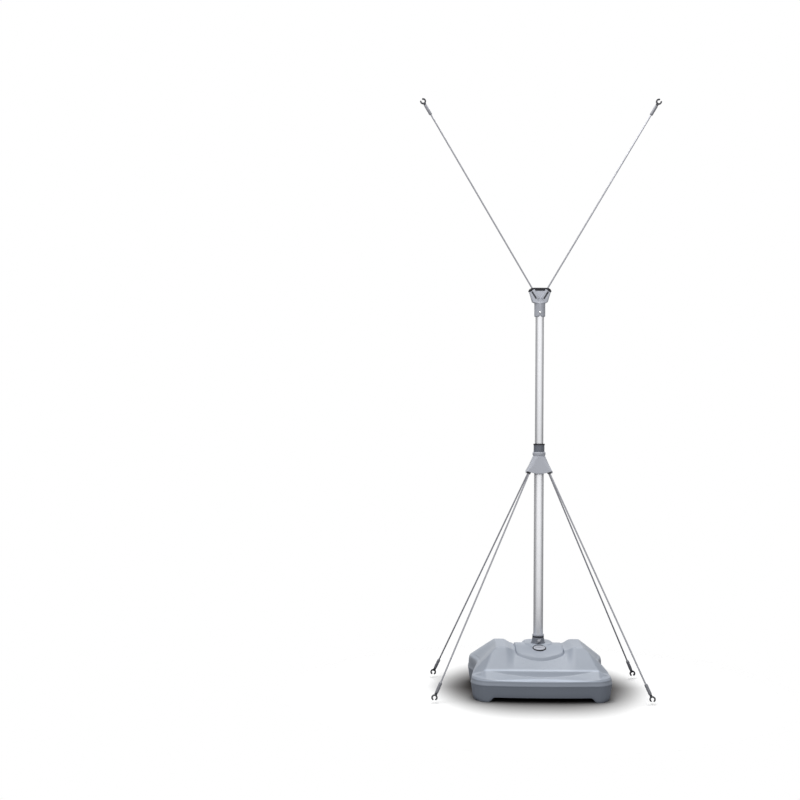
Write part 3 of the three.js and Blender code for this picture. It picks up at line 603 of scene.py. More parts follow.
def turned(profile: Sequence[tuple[float, float]], segments: int, place: Matrix) -> bpy.types.Object:
    """Turns a closed solid about Z: a disc extruded and resized from ring to ring.

    Args:
        profile: radius and height of each ring, from the bottom up.
        segments: sides round.
        place: where the local Z axis goes.

    Returns:
        The new object, with its place in its mesh.
    """
    deselect()
    (radius, height), *rest = profile
    bpy.ops.mesh.primitive_circle_add(
        vertices=segments, radius=radius, fill_type="NGON", location=(0, 0, height)
    )
    piece = bpy.context.object
    bpy.ops.object.transform_apply(location=True, rotation=True, scale=True)
    bpy.ops.object.mode_set(mode="EDIT")
    bpy.ops.mesh.select_all(action="SELECT")
    for next_radius, next_height in rest:
        bpy.ops.mesh.extrude_region_move(TRANSFORM_OT_translate={"value": (0, 0, next_height - height)})
        factor = next_radius / radius
        bpy.ops.transform.resize(value=(factor, factor, 1), center_override=(0, 0, next_height))
        radius, height = next_radius, next_height
    bpy.ops.mesh.select_all(action="SELECT")
    bpy.ops.mesh.normals_make_consistent(inside=False)
    bpy.ops.object.mode_set(mode="OBJECT")
    piece.matrix_world = place
    bpy.ops.object.transform_apply(location=True, rotation=True, scale=True)
    return piece


def along(origin: Vector, direction: Vector, side: Vector) -> Matrix:
    """Lays axes along a direction.

    Args:
        origin: where they start.
        direction: unit vector along their Z.
        side: what their Y is as near to as can be.

    Returns:
        The axes as a matrix.
    """
    x = side.cross(direction).normalized()
    y = direction.cross(x)
    axes = Matrix((x, y, direction)).transposed().to_4x4()
    axes.translation = origin
    return axes


def cut(piece: bpy.types.Object, cutter: bpy.types.Object, operation: str = "DIFFERENCE") -> None:
    """Cuts one piece out of another, or joins it on, and deletes it.

    Args:
        piece: the piece that stays.
        cutter: the other one.
        operation: the Boolean modifier's operation.
    """
    activate(piece)
    boolean = piece.modifiers.new("cut", "BOOLEAN")
    boolean.operation = operation
    boolean.solver = "EXACT"
    boolean.object = cutter
    bpy.ops.object.modifier_apply(modifier=boolean.name)
    bpy.data.objects.remove(cutter, do_unlink=True)


# Base


Loop = list[Point]


@dataclass
class Mound:
    """The raised seat of the pole's collar, reaching back behind the pole."""

    half_width: float = 42 * MM
    front: float = 30 * MM
    rear: float = 70 * MM
    corner: float = 27 * MM
    slope: float = 8 * MM
    side: float = 6 * MM
    height: float = 156.5 * MM
    foot_gap: float = 1 * MM
    # distances outside the top's edge of the loops up its slope, in mm
    spreads: tuple[float, ...] = (7.6, 6, 4.5, 3, 1.6, 0.6, -0.6, -2)


@dataclass
class WaterBase:
    """The blow-moulded tank: feet, lip band, hand scoops, ridges, pad and mound."""

    half_width: float = 225 * MM
    half_depth: float = 208 * MM
    bow: float = 14 * MM
    corner: tuple[float, float] = (50 * MM, 66 * MM)
    sole_corner: tuple[float, float] = (32 * MM, 50 * MM)
    waist: float = 20 * MM
    arch_height: float = 16 * MM
    arch_half: tuple[float, float] = (153 * MM, 128 * MM)
    arch_splay: float = 16 * MM
    band_top: float = 61.5 * MM
    rim_height: float = 71.5 * MM
    front_edge: float = 150 * MM
    front_edge_height: float = 92.6 * MM
    crest: float = 155.5 * MM
    crest_inner: float = 112 * MM
    crest_outer: float = 140 * MM
    crest_half_depth: float = 95 * MM
    valley: float = 144 * MM
    valley_edge: float = 82 * MM
    lip_slope: float = 0.45
    front_slope: float = 0.64
    corner_slope: float = 0.88
    flank_slope: float = 0.8
    front_flank_slope: float = 0.95
    flank_turn: tuple[float, float] = (40 * MM, 100 * MM)
    hip_slope: float = 0.44
    rear_hip_slope: float = 0.06
    smile_half: float = 165 * MM
    smile_drop: float = 16 * MM
    smile_reach: float = 8.5 * MM
    pad_half: tuple[float, float] = (78 * MM, 112 * MM)
    pad_height: float = 154 * MM
    pad_fall: float = 31 * MM
    pad_bow: float = 27 * MM
    pad_lift: float = 9 * MM
    pad_bevel: tuple[float, float] = (3 * MM, 8 * MM)
    pad_corner: tuple[float, float] = (0.155, 0.11)
    pad_gap: float = 0.3 * MM
    pad_steps: int = 10
    # edge of the pad: share of the bevel's width, share of its depth
    pad_rows: tuple[tuple[float, float], ...] = (
        (0.0, 1.0), (0.3, 0.7), (0.62, 0.34), (0.85, 0.12), (1.05, 0.03), (1.4, 0.0)
    )
    mound: Mound = field(default_factory=Mound)
    bore_radius: float = 20.2 * MM
    bore_bottom: float = 29.7 * MM
    bore_near: tuple[float, ...] = (0.4 * MM, 0.8 * MM, 1.6 * MM)
    bore_shares: tuple[float, ...] = (0.5, 0.9, 0.95, 1.0)
    bore_turn: float = 0.98
    pocket_centre: Point = (0, -50.5 * MM, 142.5 * MM)
    pocket_tilt: float = 11.0
    pocket_sides: int = 48
    # the filler's pocket, in mm: radius and height of each ring from the bottom up
    pocket_rows: tuple[tuple[float, float], ...] = (
        (12.3, -70), (12.3, -12.5), (15.3, -12.4), (15.3, 0), (22.4, 0.02), (22.4, 30)
    )
    sides: tuple[int, int, int] = (26, 22, 34)
    fine: int = 5
    merged: float = 0.01 * MM
    soften_share: float = 0.5
    soften_steps: int = 3
    crease: float = 38.0
    # loops of the underside: distance inside the outline, in mm
    sole_insets: tuple[float, ...] = (150, 110, 78, 72, 66, 60, 54, 40, 26, 20)
    # loops of the wall, in mm: drawn in across, drawn in along, height
    wall_rows: tuple[tuple[float, float, float], ...] = (
        (12.6, 9.4, 0), (11.6, 8.6, 0.5), (9.4, 7.8, 3.6), (7.6, 7.2, 8), (6.4, 6.7, 11.4), (5.8, 6.2, 15),
        (4.2, 4.4, 28), (2.2, 2.3, 42), (1.3, 1.3, 48), (0.9, 0.9, 50.5), (0.35, 0.35, 52), (0.1, 0.1, 53),
        (0.1, 0.1, 54.2), (0.7, 0.7, 56.2), (1.6, 1.6, 59)
    )
    rings: tuple[tuple[float, ...], ...] = (
        # run across, run along, corner across, corner along, rise, waist, dip, reach, pad's bow, tank's bow
        (0.0165, 0.0255, 0.222, 0.317, 0.1, 1, 0, 0, 0, 1),
        (0.0195, 0.0305, 0.222, 0.317, 0.45, 1, 0.02, 0, 0, 1),
        (0.025, 0.0395, 0.222, 0.317, 0.75, 1, 0.06, 0, 0, 1),
        (0.0355, 0.056, 0.222, 0.317, 0.95, 1, 0.14, 0, 0, 1),
        (0.05, 0.082, 0.222, 0.317, 1, 1, 0.26, 0, 0, 1),
        (0.0966, 0.278, 0.2, 0.26, 1, 1, 0.7, 0.4, 0, 0.7),
        (0.124, 0.557, 0.15, 0.2, 1, 0.92, 1.05, 1, 0, 0.3),
        (0.138, 0.58, 0.13, 0.19, 1, 0.9, 0, 0, 0, 0.25),
        (0.207, 0.64, 0.15, 0.23, 1, 0.8, 0, 0, 0, 0.1),
        (0.324, 0.714, 0.2, 0.28, 1, 0.6, 0, 0, 0.06, 0),
        (0.448, 0.787, 0.25, 0.3, 1, 0.36, 0, 0, 0.16, 0),
        (0.574, 0.85, 0.3, 0.3, 1, 0.1, 0, 0, 0.3, 0),
        (0.62, 0.882, 0.3, 0.28, 1, 0, 0, 0, 0.4, 0),
        (0.779, 0.93, 0.27, 0.23, 1, 0, 0, 0, 0.62, 0),
        (0.89, 0.967, 0.22, 0.17, 1, 0, 0, 0, 0.82, 0),
        (1.0, 1.0, 0.155, 0.11, 1, 0, 0, 0, 1, 0),
    )

    def loop(self, half: tuple[float, float], corner: tuple[float, float], waist: float = 0.0) -> Loop:
        """Lays out one closed loop, a rounded rectangle.

        Args:
            half: half width and half depth.
            corner: radius of the corners across and along.
            waist: how far each side is drawn in at its middle.

        Returns:
            Each point's x, y and how far it is drawn in.
        """
        side_count, turn_count, front_count = self.sides
        quarter: Loop = []
        for i in range(side_count):
            drawn = waist * (1 + math.cos(math.pi * i / side_count)) / 2
            quarter.append((half[0] - drawn, (half[1] - corner[1]) * i / side_count, drawn))
        for i in range(turn_count):
            angle = QUARTER * i / turn_count
            x = half[0] - corner[0] + corner[0] * math.cos(angle)
            quarter.append((x, half[1] - corner[1] + corner[1] * math.sin(angle), 0.0))
        for i in range(front_count + 1):
            quarter.append(((half[0] - corner[0]) * (1 - i / front_count), half[1], 0.0))
        left = [(-x, y, drawn) for x, y, drawn in reversed(quarter[:-1])]
        upper = quarter + left
        return upper + [(x, -y, drawn) for x, y, drawn in reversed(upper[1:-1])]

    def bowed(self, x: float, y: float, half: tuple[float, float], bow: float) -> float:
        """Bows a loop's front and rear outwards.

        Args:
            x: the point's place across.
            y: its place along, on the straight loop.
            half: the loop's half width and half depth.
            bow: how far the middle stands out from the corners.

        Returns:
            The point's new place along.
        """
        return y * (1 - (x / half[0]) ** 2 * bow / half[1])

    def under_height(self, x: float, y: float) -> float:
        """Finds the height of the underside.

        Args:
            x: place across.
            y: place along.

        Returns:
            The height, zero on the four soles.
        """
        across = ramp(abs(x), self.arch_half[0], self.arch_half[0] + self.arch_splay)
        lengthways = ramp(abs(y), self.arch_half[1], self.arch_half[1] + self.arch_splay)
        return self.arch_height * (1 - min(across, lengthways))

    def top_height(self, across: float, y: float, lip_limit: float) -> float:
        """Finds the height of the top, the least of ridge, front slope and flank, and at least its lip.

        Args:
            across: distance from the middle across.
            y: place along.
            lip_limit: the most that the lip may rise to here.

        Returns:
            The height.
        """
        lengthways = abs(y)
        share = ramp(across, self.valley_edge, self.crest_inner)
        profile = mix(self.valley, self.crest, share)
        slope = self.lip_slope
        if lengthways < self.front_edge:
            slope = mix(self.front_slope, self.corner_slope, share)
        front = self.front_edge_height + slope * (self.front_edge - lengthways)
        hip_slope = self.hip_slope if y < 0 else self.rear_hip_slope
        hip = hip_slope * max(0.0, lengthways - self.crest_half_depth)
        fall = mix(self.flank_slope, self.front_flank_slope, ramp(-y, *self.flank_turn))
        flank = self.crest - fall * (across - self.crest_outer) - hip
        lip = self.rim_height + self.lip_slope * (self.half_width - across)
        return max(self.rim_height, min(profile, front, flank), min(front, lip, lip_limit))

    def crown(self, y: float) -> float:
        """Returns the height of the pad's crown."""
        return self.pad_height - self.pad_fall * (y / self.pad_half[1]) ** 2

    def wall_loops(self) -> list[Loop]:
        """Lays out the underside and the outer wall.

        Returns:
            The loops, from the middle out and up.
        """
        loops: list[Loop] = []
        for inset in self.sole_insets:
            half = (self.half_width - inset * MM, self.half_depth - inset * MM)
            corner = tuple(min(turn, size / 2) for turn, size in zip(self.sole_corner, half))
            flat = [(x, self.bowed(x, y, half, self.bow)) for x, y, _ in self.loop(half, corner, self.waist)]
            loops.append([(x, y, self.under_height(x, y)) for x, y in flat])
        for inset, front, height in self.wall_rows:
            half = (self.half_width - inset * MM, self.half_depth - front * MM)
            corner = (self.corner[0] - inset * MM, self.corner[1] - front * MM)
            loop = self.loop(half, corner, self.waist)
            flat = [(x, self.bowed(x, y, half, self.bow)) for x, y, _ in loop]
            loops.append([(x, y, max(height * MM, self.under_height(x, y))) for x, y in flat])
        return loops

    def ring_loop(self, values: Sequence[float]) -> Loop:
        """Returns one loop of the top.

        Args:
            values: a row of rings, or one between two rows.

        Returns:
            The loop's points.
        """
        run_x, run_y, corner_x, corner_y, rise, waist, dip, reach, pad_bow, tank_bow = values
        bow = self.pad_bow * pad_bow + self.bow * tank_bow
        inner = (self.pad_half[0] + self.pad_gap, self.pad_half[1] + self.pad_gap)
        half = (mix(self.half_width, inner[0], run_x), mix(self.half_depth, inner[1], run_y))
        corner = (half[0] * corner_x, half[1] * corner_y)
        front_rim = self.front_edge_height - self.lip_slope * (half[1] - self.front_edge)
        lip_limit = max(front_rim, self.rim_height + self.lip_slope * (self.half_width - half[0]))
        points: Loop = []
        for x, y, drawn in self.loop(half, corner, self.waist * waist):
            front = min(1.0, max(0.0, (abs(y) - half[1] + corner[1]) / corner[1]))
            scoop = front * max(0.0, 1 - (x / self.smile_half) ** 2)
            place = self.bowed(x, y, half, bow)
            surface = self.top_height(abs(x) + drawn, place, lip_limit)
            height = mix(self.band_top, surface, rise) - self.smile_drop * dip * scoop
            points.append((x, place + math.copysign(self.smile_reach * reach * scoop, y), height))
        return points

    def top_loops(self) -> list[Loop]:
        """Lays out the top, the given rings with finer ones between them.

        Returns:
            The loops, from the rim to the pad.
        """
        loops: list[Loop] = []
        for first, second in zip(self.rings, self.rings[1:]):
            for step in range(self.fine):
                share = step / self.fine
                loops.append(self.ring_loop([mix(a, b, share) for a, b in zip(first, second)]))
        loops.append(self.ring_loop(self.rings[-1]))
        return loops

    def mound_loop(self, spread: float) -> Loop:
        """Returns a loop round the mound's top.

        Args:
            spread: how far outside its edge the loop lies.

        Returns:
            The loop's points, on the mound or the pad.
        """
        mound = self.mound
        half = (mound.half_width + spread, (mound.front + mound.rear) / 2 + spread)
        middle = (mound.rear - mound.front) / 2
        sloped = mound.height - mound.side * max(0.0, spread) / mound.slope
        points: Loop = []
        for x, y, _ in self.loop(half, (mound.corner + spread,) * 2):
            level = sloped if spread <= mound.slope else 0.0
            points.append((x, y + middle, max(level, self.crown(y + middle))))
        return points

    def pad_loops(self) -> list[Loop]:
        """Lays out the pad, the mound and the bore down to its floor.

        Returns:
            The loops, from the pad's edge inwards.
        """
        loops: list[Loop] = []
        for bevel, sink in self.pad_rows:
            half = tuple(size - width * bevel for size, width in zip(self.pad_half, self.pad_bevel))
            corner = (half[0] * self.pad_corner[0], half[1] * self.pad_corner[1])
            loop: Loop = []
            for x, y, _ in self.loop(half, corner):
                place = self.bowed(x, y, half, self.pad_bow)
                loop.append((x, place, self.crown(place) - self.pad_lift * sink))
            loops.append(loop)
        outer, foot = loops[-1], self.mound_loop(self.mound.slope + self.mound.foot_gap)
        for step in range(1, self.pad_steps + 1):
            share = step / self.pad_steps
            loop = []
            for a, b in zip(outer, foot):
                y = mix(a[1], b[1], share)
                loop.append((mix(a[0], b[0], share), y, self.crown(y)))
            loops.append(loop)
        loops += [self.mound_loop(spread * MM) for spread in self.mound.spreads]
        rim, level = loops[-1], self.mound.height
        bore = self.loop((self.bore_radius,) * 2, (self.bore_radius * self.bore_turn,) * 2)
        for share in self.bore_shares:
            pairs = zip(rim, bore)
            loops.append([(mix(a[0], b[0], share), mix(a[1], b[1], share), level) for a, b in pairs])
        # Rings close to the rim and the floor keep both in place when the skin is softened
        depths = [level - gap for gap in self.bore_near]
        depths += [self.bore_bottom + gap for gap in (*reversed(self.bore_near), 0.0)]
        loops += [[(x, y, depth) for x, y, _ in bore] for depth in depths]
        return loops

    def skin(self) -> bpy.types.Object:
        """Skins all loops and slightly softens the creases.

        Returns:
            The closed skin.
        """
        loops = self.wall_loops() + self.top_loops() + self.pad_loops()
        count = len(loops[0])
        vertices = [point for loop in loops for point in loop]
        faces = []
        for ring in range(len(loops) - 1):
            for i in range(count):
                a, b = ring * count + i, ring * count + (i + 1) % count
                faces.append((a, b, b + count, a + count))
        faces.append(tuple(reversed(range(count))))
        faces.append(tuple(range((len(loops) - 1) * count, len(loops) * count)))
        mesh = bpy.data.meshes.new("tank")
        mesh.from_pydata(vertices, [], faces)
        piece = bpy.data.objects.new("tank", mesh)
        bpy.context.scene.collection.objects.link(piece)
        activate(piece)
        bpy.ops.object.mode_set(mode="EDIT")
        bpy.ops.mesh.select_all(action="SELECT")
        bpy.ops.mesh.remove_doubles(threshold=self.merged)
        bpy.ops.mesh.normals_make_consistent(inside=False)
        bpy.ops.object.mode_set(mode="OBJECT")
        soften = piece.modifiers.new("soften", "SMOOTH")
        soften.factor = self.soften_share
        soften.iterations = self.soften_steps
        bpy.ops.object.modifier_apply(modifier=soften.name)
        return piece

    def build(self) -> None:
        """Skins the tank and cuts the filler's pocket."""
        piece = self.skin()
        tilt = Matrix.Rotation(math.radians(self.pocket_tilt), 4, "X")
        profile = [(radius * MM, height * MM) for radius, height in self.pocket_rows]
        cut(piece, turned(profile, self.pocket_sides, Matrix.Translation(self.pocket_centre) @ tilt))
        smooth(piece, self.crease)
        settle(piece, "tank", Slot.TANK, "base", ["base_tank"])


@dataclass
class SoftenedParts:
    """Pieces that keep their solid's shape, with rounded edges and a finish."""

    # of each piece: its finish, its body and the radius of its edges
    parts: dict[str, tuple[Slot, str, float]]

    def build(self) -> None:
        """Softens the pieces."""
        for node, (slot, body, edge) in self.parts.items():
            softened(node, f"{node}_look", slot, body, edge)


@dataclass
class Filler(SoftenedParts):
    """Neck, gasket, seal and cap of the tank."""

    parts: dict[str, tuple[Slot, str, float]] = field(default_factory=lambda: {
        "filler_neck": (Slot.DARK, "base", 0.3 * MM),
        "filler_gasket": (Slot.RUBBER, "cap_lift", 0.25 * MM),
        "filler_seal": (Slot.RUBBER, "base", 0.3 * MM),
        "filler_cap": (Slot.HUB, "cap", 0.35 * MM),
    })


@dataclass
class PoleSeat(SoftenedParts):
    """Socket, flared collar, rubber ring, guard ring and wing bolt."""

    parts: dict[str, tuple[Slot, str, float]] = field(default_factory=lambda: {
        "pole_socket": (Slot.HUB, "base", 0.3 * MM),
        "pole_collar": (Slot.COLLAR, "base", 0.5 * MM),
        "wing_bolt": (Slot.TARNISHED, "bolt", 0.5 * MM),
        "collar_ring": (Slot.RUBBER, "grip_ring", 0.7 * MM),
        "guard_ring": (Slot.HUB, "base", 0.7 * MM),
    })


@dataclass
class Pole(SoftenedParts):
    """The two tubes, their plugs and the twist lock between them."""

    parts: dict[str, tuple[Slot, str, float]] = field(default_factory=lambda: {
        "pole_foot": (Slot.DARK, "lower_pole", 0.4 * MM),
        "lower_tube": (Slot.TUBE, "lower_pole", 0.15 * MM),
        "clutch_bush": (Slot.DARK, "lower_pole", 0.3 * MM),
        "lock_collar": (Slot.COLLAR, "lock", 0.2 * MM),
        "lock_flange": (Slot.RUBBER, "lock", 0.6 * MM),
        "guide_bush": (Slot.DARK, "upper_pole", 0.3 * MM),
        "upper_tube": (Slot.TUBE, "upper_pole", 0.15 * MM),
    })


@dataclass
class LowerHub:
    """The skirted hub over the lower rods, its lower edge a smooth arc on each side."""

    top: float = 766.7 * MM
    height: float = 56.2 * MM
    top_half: float = 20.5 * MM
    foot_half: tuple[float, float] = (43 * MM, 28.5 * MM)
    wall: float = 3.2 * MM
    lift: float = 9 * MM
    step: float = 3.5 * MM
    edge: float = 0.5 * MM

    def arc(self, piece: bpy.types.Object) -> None:
        """Turns the lower edge's kinks into arcs, in step with the height on the skirt.

        Args:
            piece: the hub.
        """
        for axis, half in enumerate(self.foot_half):
            count = int(half / self.step)
            sliced(piece, [self.step * i for i in range(-count, count + 1)], axis)
        for vertex in piece.data.vertices:
            x, y, z = vertex.co
            share = min(1.0, max(0.0, (self.top - z) / self.height))
            across, lengthways = (mix(self.top_half, half, share) for half in self.foot_half)
            if share > 0 and (abs(x) > across - self.wall or abs(y) > lengthways - self.wall):
                corner = min(1.0, abs(x * y) / (across * lengthways))
                vertex.co.z += self.lift * share * (corner * corner - corner)

    def build(self) -> None:
        """Softens the hub, its screw and its pins."""
        hub = rounded("lower_hub", self.edge)
        self.arc(hub)
        settle(hub, "lower_hub_look", Slot.HUB, "lower_pole", ["lower_hub"])
        pins = [f"hub_pin_{end}_{side}" for end in ("front", "rear") for side in ("left", "right")]
        for node in ("hub_screw", *pins):
            softened(node, f"{node}_look", Slot.BRIGHT, "lower_pole", PIN_EDGE)


@dataclass
class UpperHub:
    """The fan-shaped hub under the arms, with moulded ribs, recessed channels, trim and snap button."""

    rib_low: tuple[float, float] = (5 * MM, 1282 * MM)
    rib_high: tuple[float, float] = (22.6 * MM, 1311 * MM)
    rib_width: float = 8.6 * MM
    rib_depth: float = 5 * MM
    rib_proud: float = 2.4 * MM
    rib_edge: float = 1.3 * MM
    channel_low: tuple[float, float] = (12.2 * MM, 1281.6 * MM)
    channel_high: tuple[float, float] = (26.6 * MM, 1304.6 * MM)
    channel_width: float = 5.4 * MM
    channel_depth: float = 2.2 * MM
    channel_edge: float = 0.8 * MM
    # the liners are dark sheets of painted shade on the channels' floors
    shade_liner_gap: float = 0.1 * MM
    shade_liner_depth: float = 0.9 * MM
    shade_liner_edge: float = 0.4 * MM
    edge: float = 0.6 * MM
    face_heights: tuple[float, float] = (1283 * MM, 1305 * MM)
    trim_bottom: float = 1308 * MM
    trim_height: float = 9.6 * MM
    trim_flat: float = 20 * MM
    trim_half: float = 37.3 * MM
    trim_drop: tuple[float, float] = (3.6 * MM, 7.5 * MM)
    trim_drop_power: float = 2.2
    trim_low_reach: float = 1.7
    trim_edge: float = 1.6 * MM
    trim_step: float = 1.5 * MM
    trim_steps: int = 12
    button_edge: float = 0.5 * MM
    clip_edge: float = 0.1 * MM
    clip_leg: float = 1 * MM
    crease: float = 35.0
    trim_crease: float = 50.0

    def face(self, side: int) -> tuple[float, float]:
        """Finds the fan's front or rear face.

        Args:
            side: -1 for the front and 1 for the rear.

        Returns:
            The face's y at mid height and its slope, y per height.
        """
        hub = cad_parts["upper_hub"]
        found = [hub.ray_cast((0, side, height), (0, -side, 0))[1].y for height in self.face_heights]
        low, high = self.face_heights
        slope = (found[1] - found[0]) / (high - low)
        return (found[0] + found[1]) / 2, slope

    def on_face(self, ends: Sequence[tuple[float, float]], side: int, across: int, sink: float) -> Matrix:
        """Places a slanted bar on the fan's face.

        Args:
            ends: across and up of the bar's lower and upper end.
            side: -1 for the front and 1 for the rear.
            across: -1 for the left and 1 for the right.
            sink: how far the bar's middle lies inside the face.

        Returns:
            The axes of the bar, its length along Z.
        """
        middle, slope = self.face(side)
        centre = sum(self.face_heights) / 2
        low, high = (
            Vector((across * x, middle + slope * (z - centre) - side * sink, z)) for x, z in ends
        )
        return along((low + high) / 2, (high - low).normalized(), BACK)

    def fan(self) -> None:
        """Builds the fan with its ribs and channels, and the dark sheets of painted shade on the channels'
        floors.
        """
        hub = rounded("upper_hub", self.edge)
        channel, rib = (self.channel_low, self.channel_high), (self.rib_low, self.rib_high)
        long, rib_size = math.dist(*channel), (self.rib_width, self.rib_depth, math.dist(*rib))
        groove_size = (self.channel_width, 2 * self.channel_depth, long)
        shade_liner_size = (self.channel_width - self.shade_liner_gap, self.shade_liner_depth, long - self.shade_liner_gap)
        for side, end in ((-1, "front"), (1, "rear")):
            for across, hand in ((-1, "left"), (1, "right")):
                cut(hub, bar(groove_size, self.channel_edge, self.on_face(channel, side, across, 0)))
                # Painted shade: a dark sheet on the groove's floor stands in for the shadow in the channel
                place = self.on_face(channel, side, across, self.channel_depth)
                shade_liner = bar(shade_liner_size, self.shade_liner_edge, place)
                settle(shade_liner, f"hub_liner_{end}_{hand}", Slot.DARK, "upper_pole", [])
                place = self.on_face(rib, side, across, self.rib_depth / 2 - self.rib_proud)
                cut(hub, bar(rib_size, self.rib_edge, place), "UNION")
        smooth(hub, self.crease)
        settle(hub, "upper_hub_look", Slot.HUB, "upper_pole", ["upper_hub"])

    def trim(self) -> None:
        """Builds the trim, its ends rounded off above and reaching down over the fan's corners."""
        trim = rounded("hub_trim", self.trim_edge)
        places = [self.trim_flat + self.trim_step * i for i in range(self.trim_steps)]
        sliced(trim, places + [-place for place in places])
        for vertex in trim.data.vertices:
            reach = max(0.0, abs(vertex.co.x) - self.trim_flat) / (self.trim_half - self.trim_flat)
            level = (vertex.co.z - self.trim_bottom) / self.trim_height
            low = self.trim_drop[0] * min(1.0, self.trim_low_reach * reach) ** 2
            vertex.co.z -= mix(low, self.trim_drop[1] * reach ** self.trim_drop_power, level)
        smooth(trim, self.trim_crease)
        settle(trim, "hub_trim_look", Slot.RUBBER, "upper_pole", ["hub_trim"])

    def build(self) -> None:
        """Builds the fan and the trim and softens the small parts, the clip riding on no body."""
        self.fan()
        self.trim()
        softened("snap_button", "snap_button_look", Slot.BRIGHT, "button", self.button_edge)
        clip = rounded("button_clip", self.clip_edge)
        settle(clip, "button_clip_look", Slot.BRIGHT, None, ["button_clip"])
        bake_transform(clip)
        for hand in ("left", "right"):
            softened(f"arm_pin_{hand}", f"arm_pin_{hand}_look", Slot.BRIGHT, "upper_pole", PIN_EDGE)


@dataclass
class Rod:
    """One folding rod: its eye, rod, ferrule and banner hook."""

    kind: str
    name: str
    pivot: Vector
    direction: Vector
    reach: float
    rod_radius: float = 2.5 * MM
    rod_start: tuple[float, float] = (9 * MM, 9.5 * MM)
    rod_start_share: float = 0.8
    rod_sides: int = 20
    rod_in_ferrule: float = 24 * MM
    ferrule_radius: float = 5.3 * MM
    ferrule_length: float = 36 * MM
    ferrule_sides: int = 28
    # rings of the ferrule, in mm: how much slimmer than its radius, height
    ferrule_rows: tuple[tuple[float, float], ...] = (
        (2.4, 0), (1.6, 0), (0.9, 0.5), (0.2, 1.8), (0, 3), (0, 11), (0.5, 11.6), (0.5, 13.4), (0, 14),
        (0, 33), (0.3, 34.6), (1.4, 36), (1.9, 36)
    )
    claw_reach: float = 15 * MM
    eye_edge: float = 0.4 * MM
    hook_edge: float = 0.9 * MM
    rod_crease: float = 40.0
    ferrule_crease: float = 35.0

    def build(self) -> None:
        """Builds the rod and ferrule anew and softens the eye and the hook."""
        body = f"{self.kind}_{self.name}"
        place = along(self.pivot, self.direction, BACK)
        start = self.reach - self.claw_reach - self.ferrule_length
        (tip, shoulder), radius = self.rod_start, self.rod_radius
        profile = [(radius * self.rod_start_share, tip), (radius, shoulder)]
        rod = turned([*profile, (radius, start + self.rod_in_ferrule)], self.rod_sides, place)
        smooth(rod, self.rod_crease)
        settle(rod, f"{body}_rod_look", Slot.ROD, body, [f"{self.kind}_rod_{self.name}"])
        radius = self.ferrule_radius
        profile = [(radius - slim * MM, start + height * MM) for slim, height in self.ferrule_rows]
        ferrule = turned(profile, self.ferrule_sides, place)
        smooth(ferrule, self.ferrule_crease)
        settle(ferrule, f"{body}_ferrule_look", Slot.FERRULE, body, [f"{self.kind}_ferrule_{self.name}"])
        softened(f"{self.kind}_eye_{self.name}", f"{body}_eye_look", Slot.DARK, body, self.eye_edge)
        softened(f"{self.kind}_hook_{self.name}", f"{body}_hook_look", Slot.DARK, body, self.hook_edge)


@dataclass
class Rods:
    """The four lower rods and the two upper arms."""

    leg_pivot: tuple[float, float] = (25.5 * MM, 738 * MM)
    leg_azimuth: float = 31.4
    leg_lean: float = 27.4
    leg_reach: float = 811.8 * MM
    arm_pivot: tuple[float, float] = (7.2 * MM, 1286 * MM)
    arm_lean: float = 30.5
    arm_reach: float = 746 * MM

    def build(self) -> None:
        """Builds all six."""
        radius, height = self.leg_pivot
        lean = math.radians(self.leg_lean)
        for end, back in (("front", -1), ("rear", 1)):
            for side, across in (("left", -1), ("right", 1)):
                flat = math.radians(self.leg_azimuth)
                out = Vector((across * math.cos(flat), back * math.sin(flat), 0))
                direction = out * math.sin(lean) + Vector((0, 0, -math.cos(lean)))
                pivot = out * radius + Vector((0, 0, height))
                Rod("leg", f"{end}_{side}", pivot, direction, self.leg_reach).build()
        lean = math.radians(self.arm_lean)
        for side, across in (("left", -1), ("right", 1)):
            pivot = Vector((across * self.arm_pivot[0], 0, self.arm_pivot[1]))
            direction = Vector((across * math.sin(lean), 0, math.cos(lean)))
            Rod("arm", side, pivot, direction, self.arm_reach).build()


# Studio


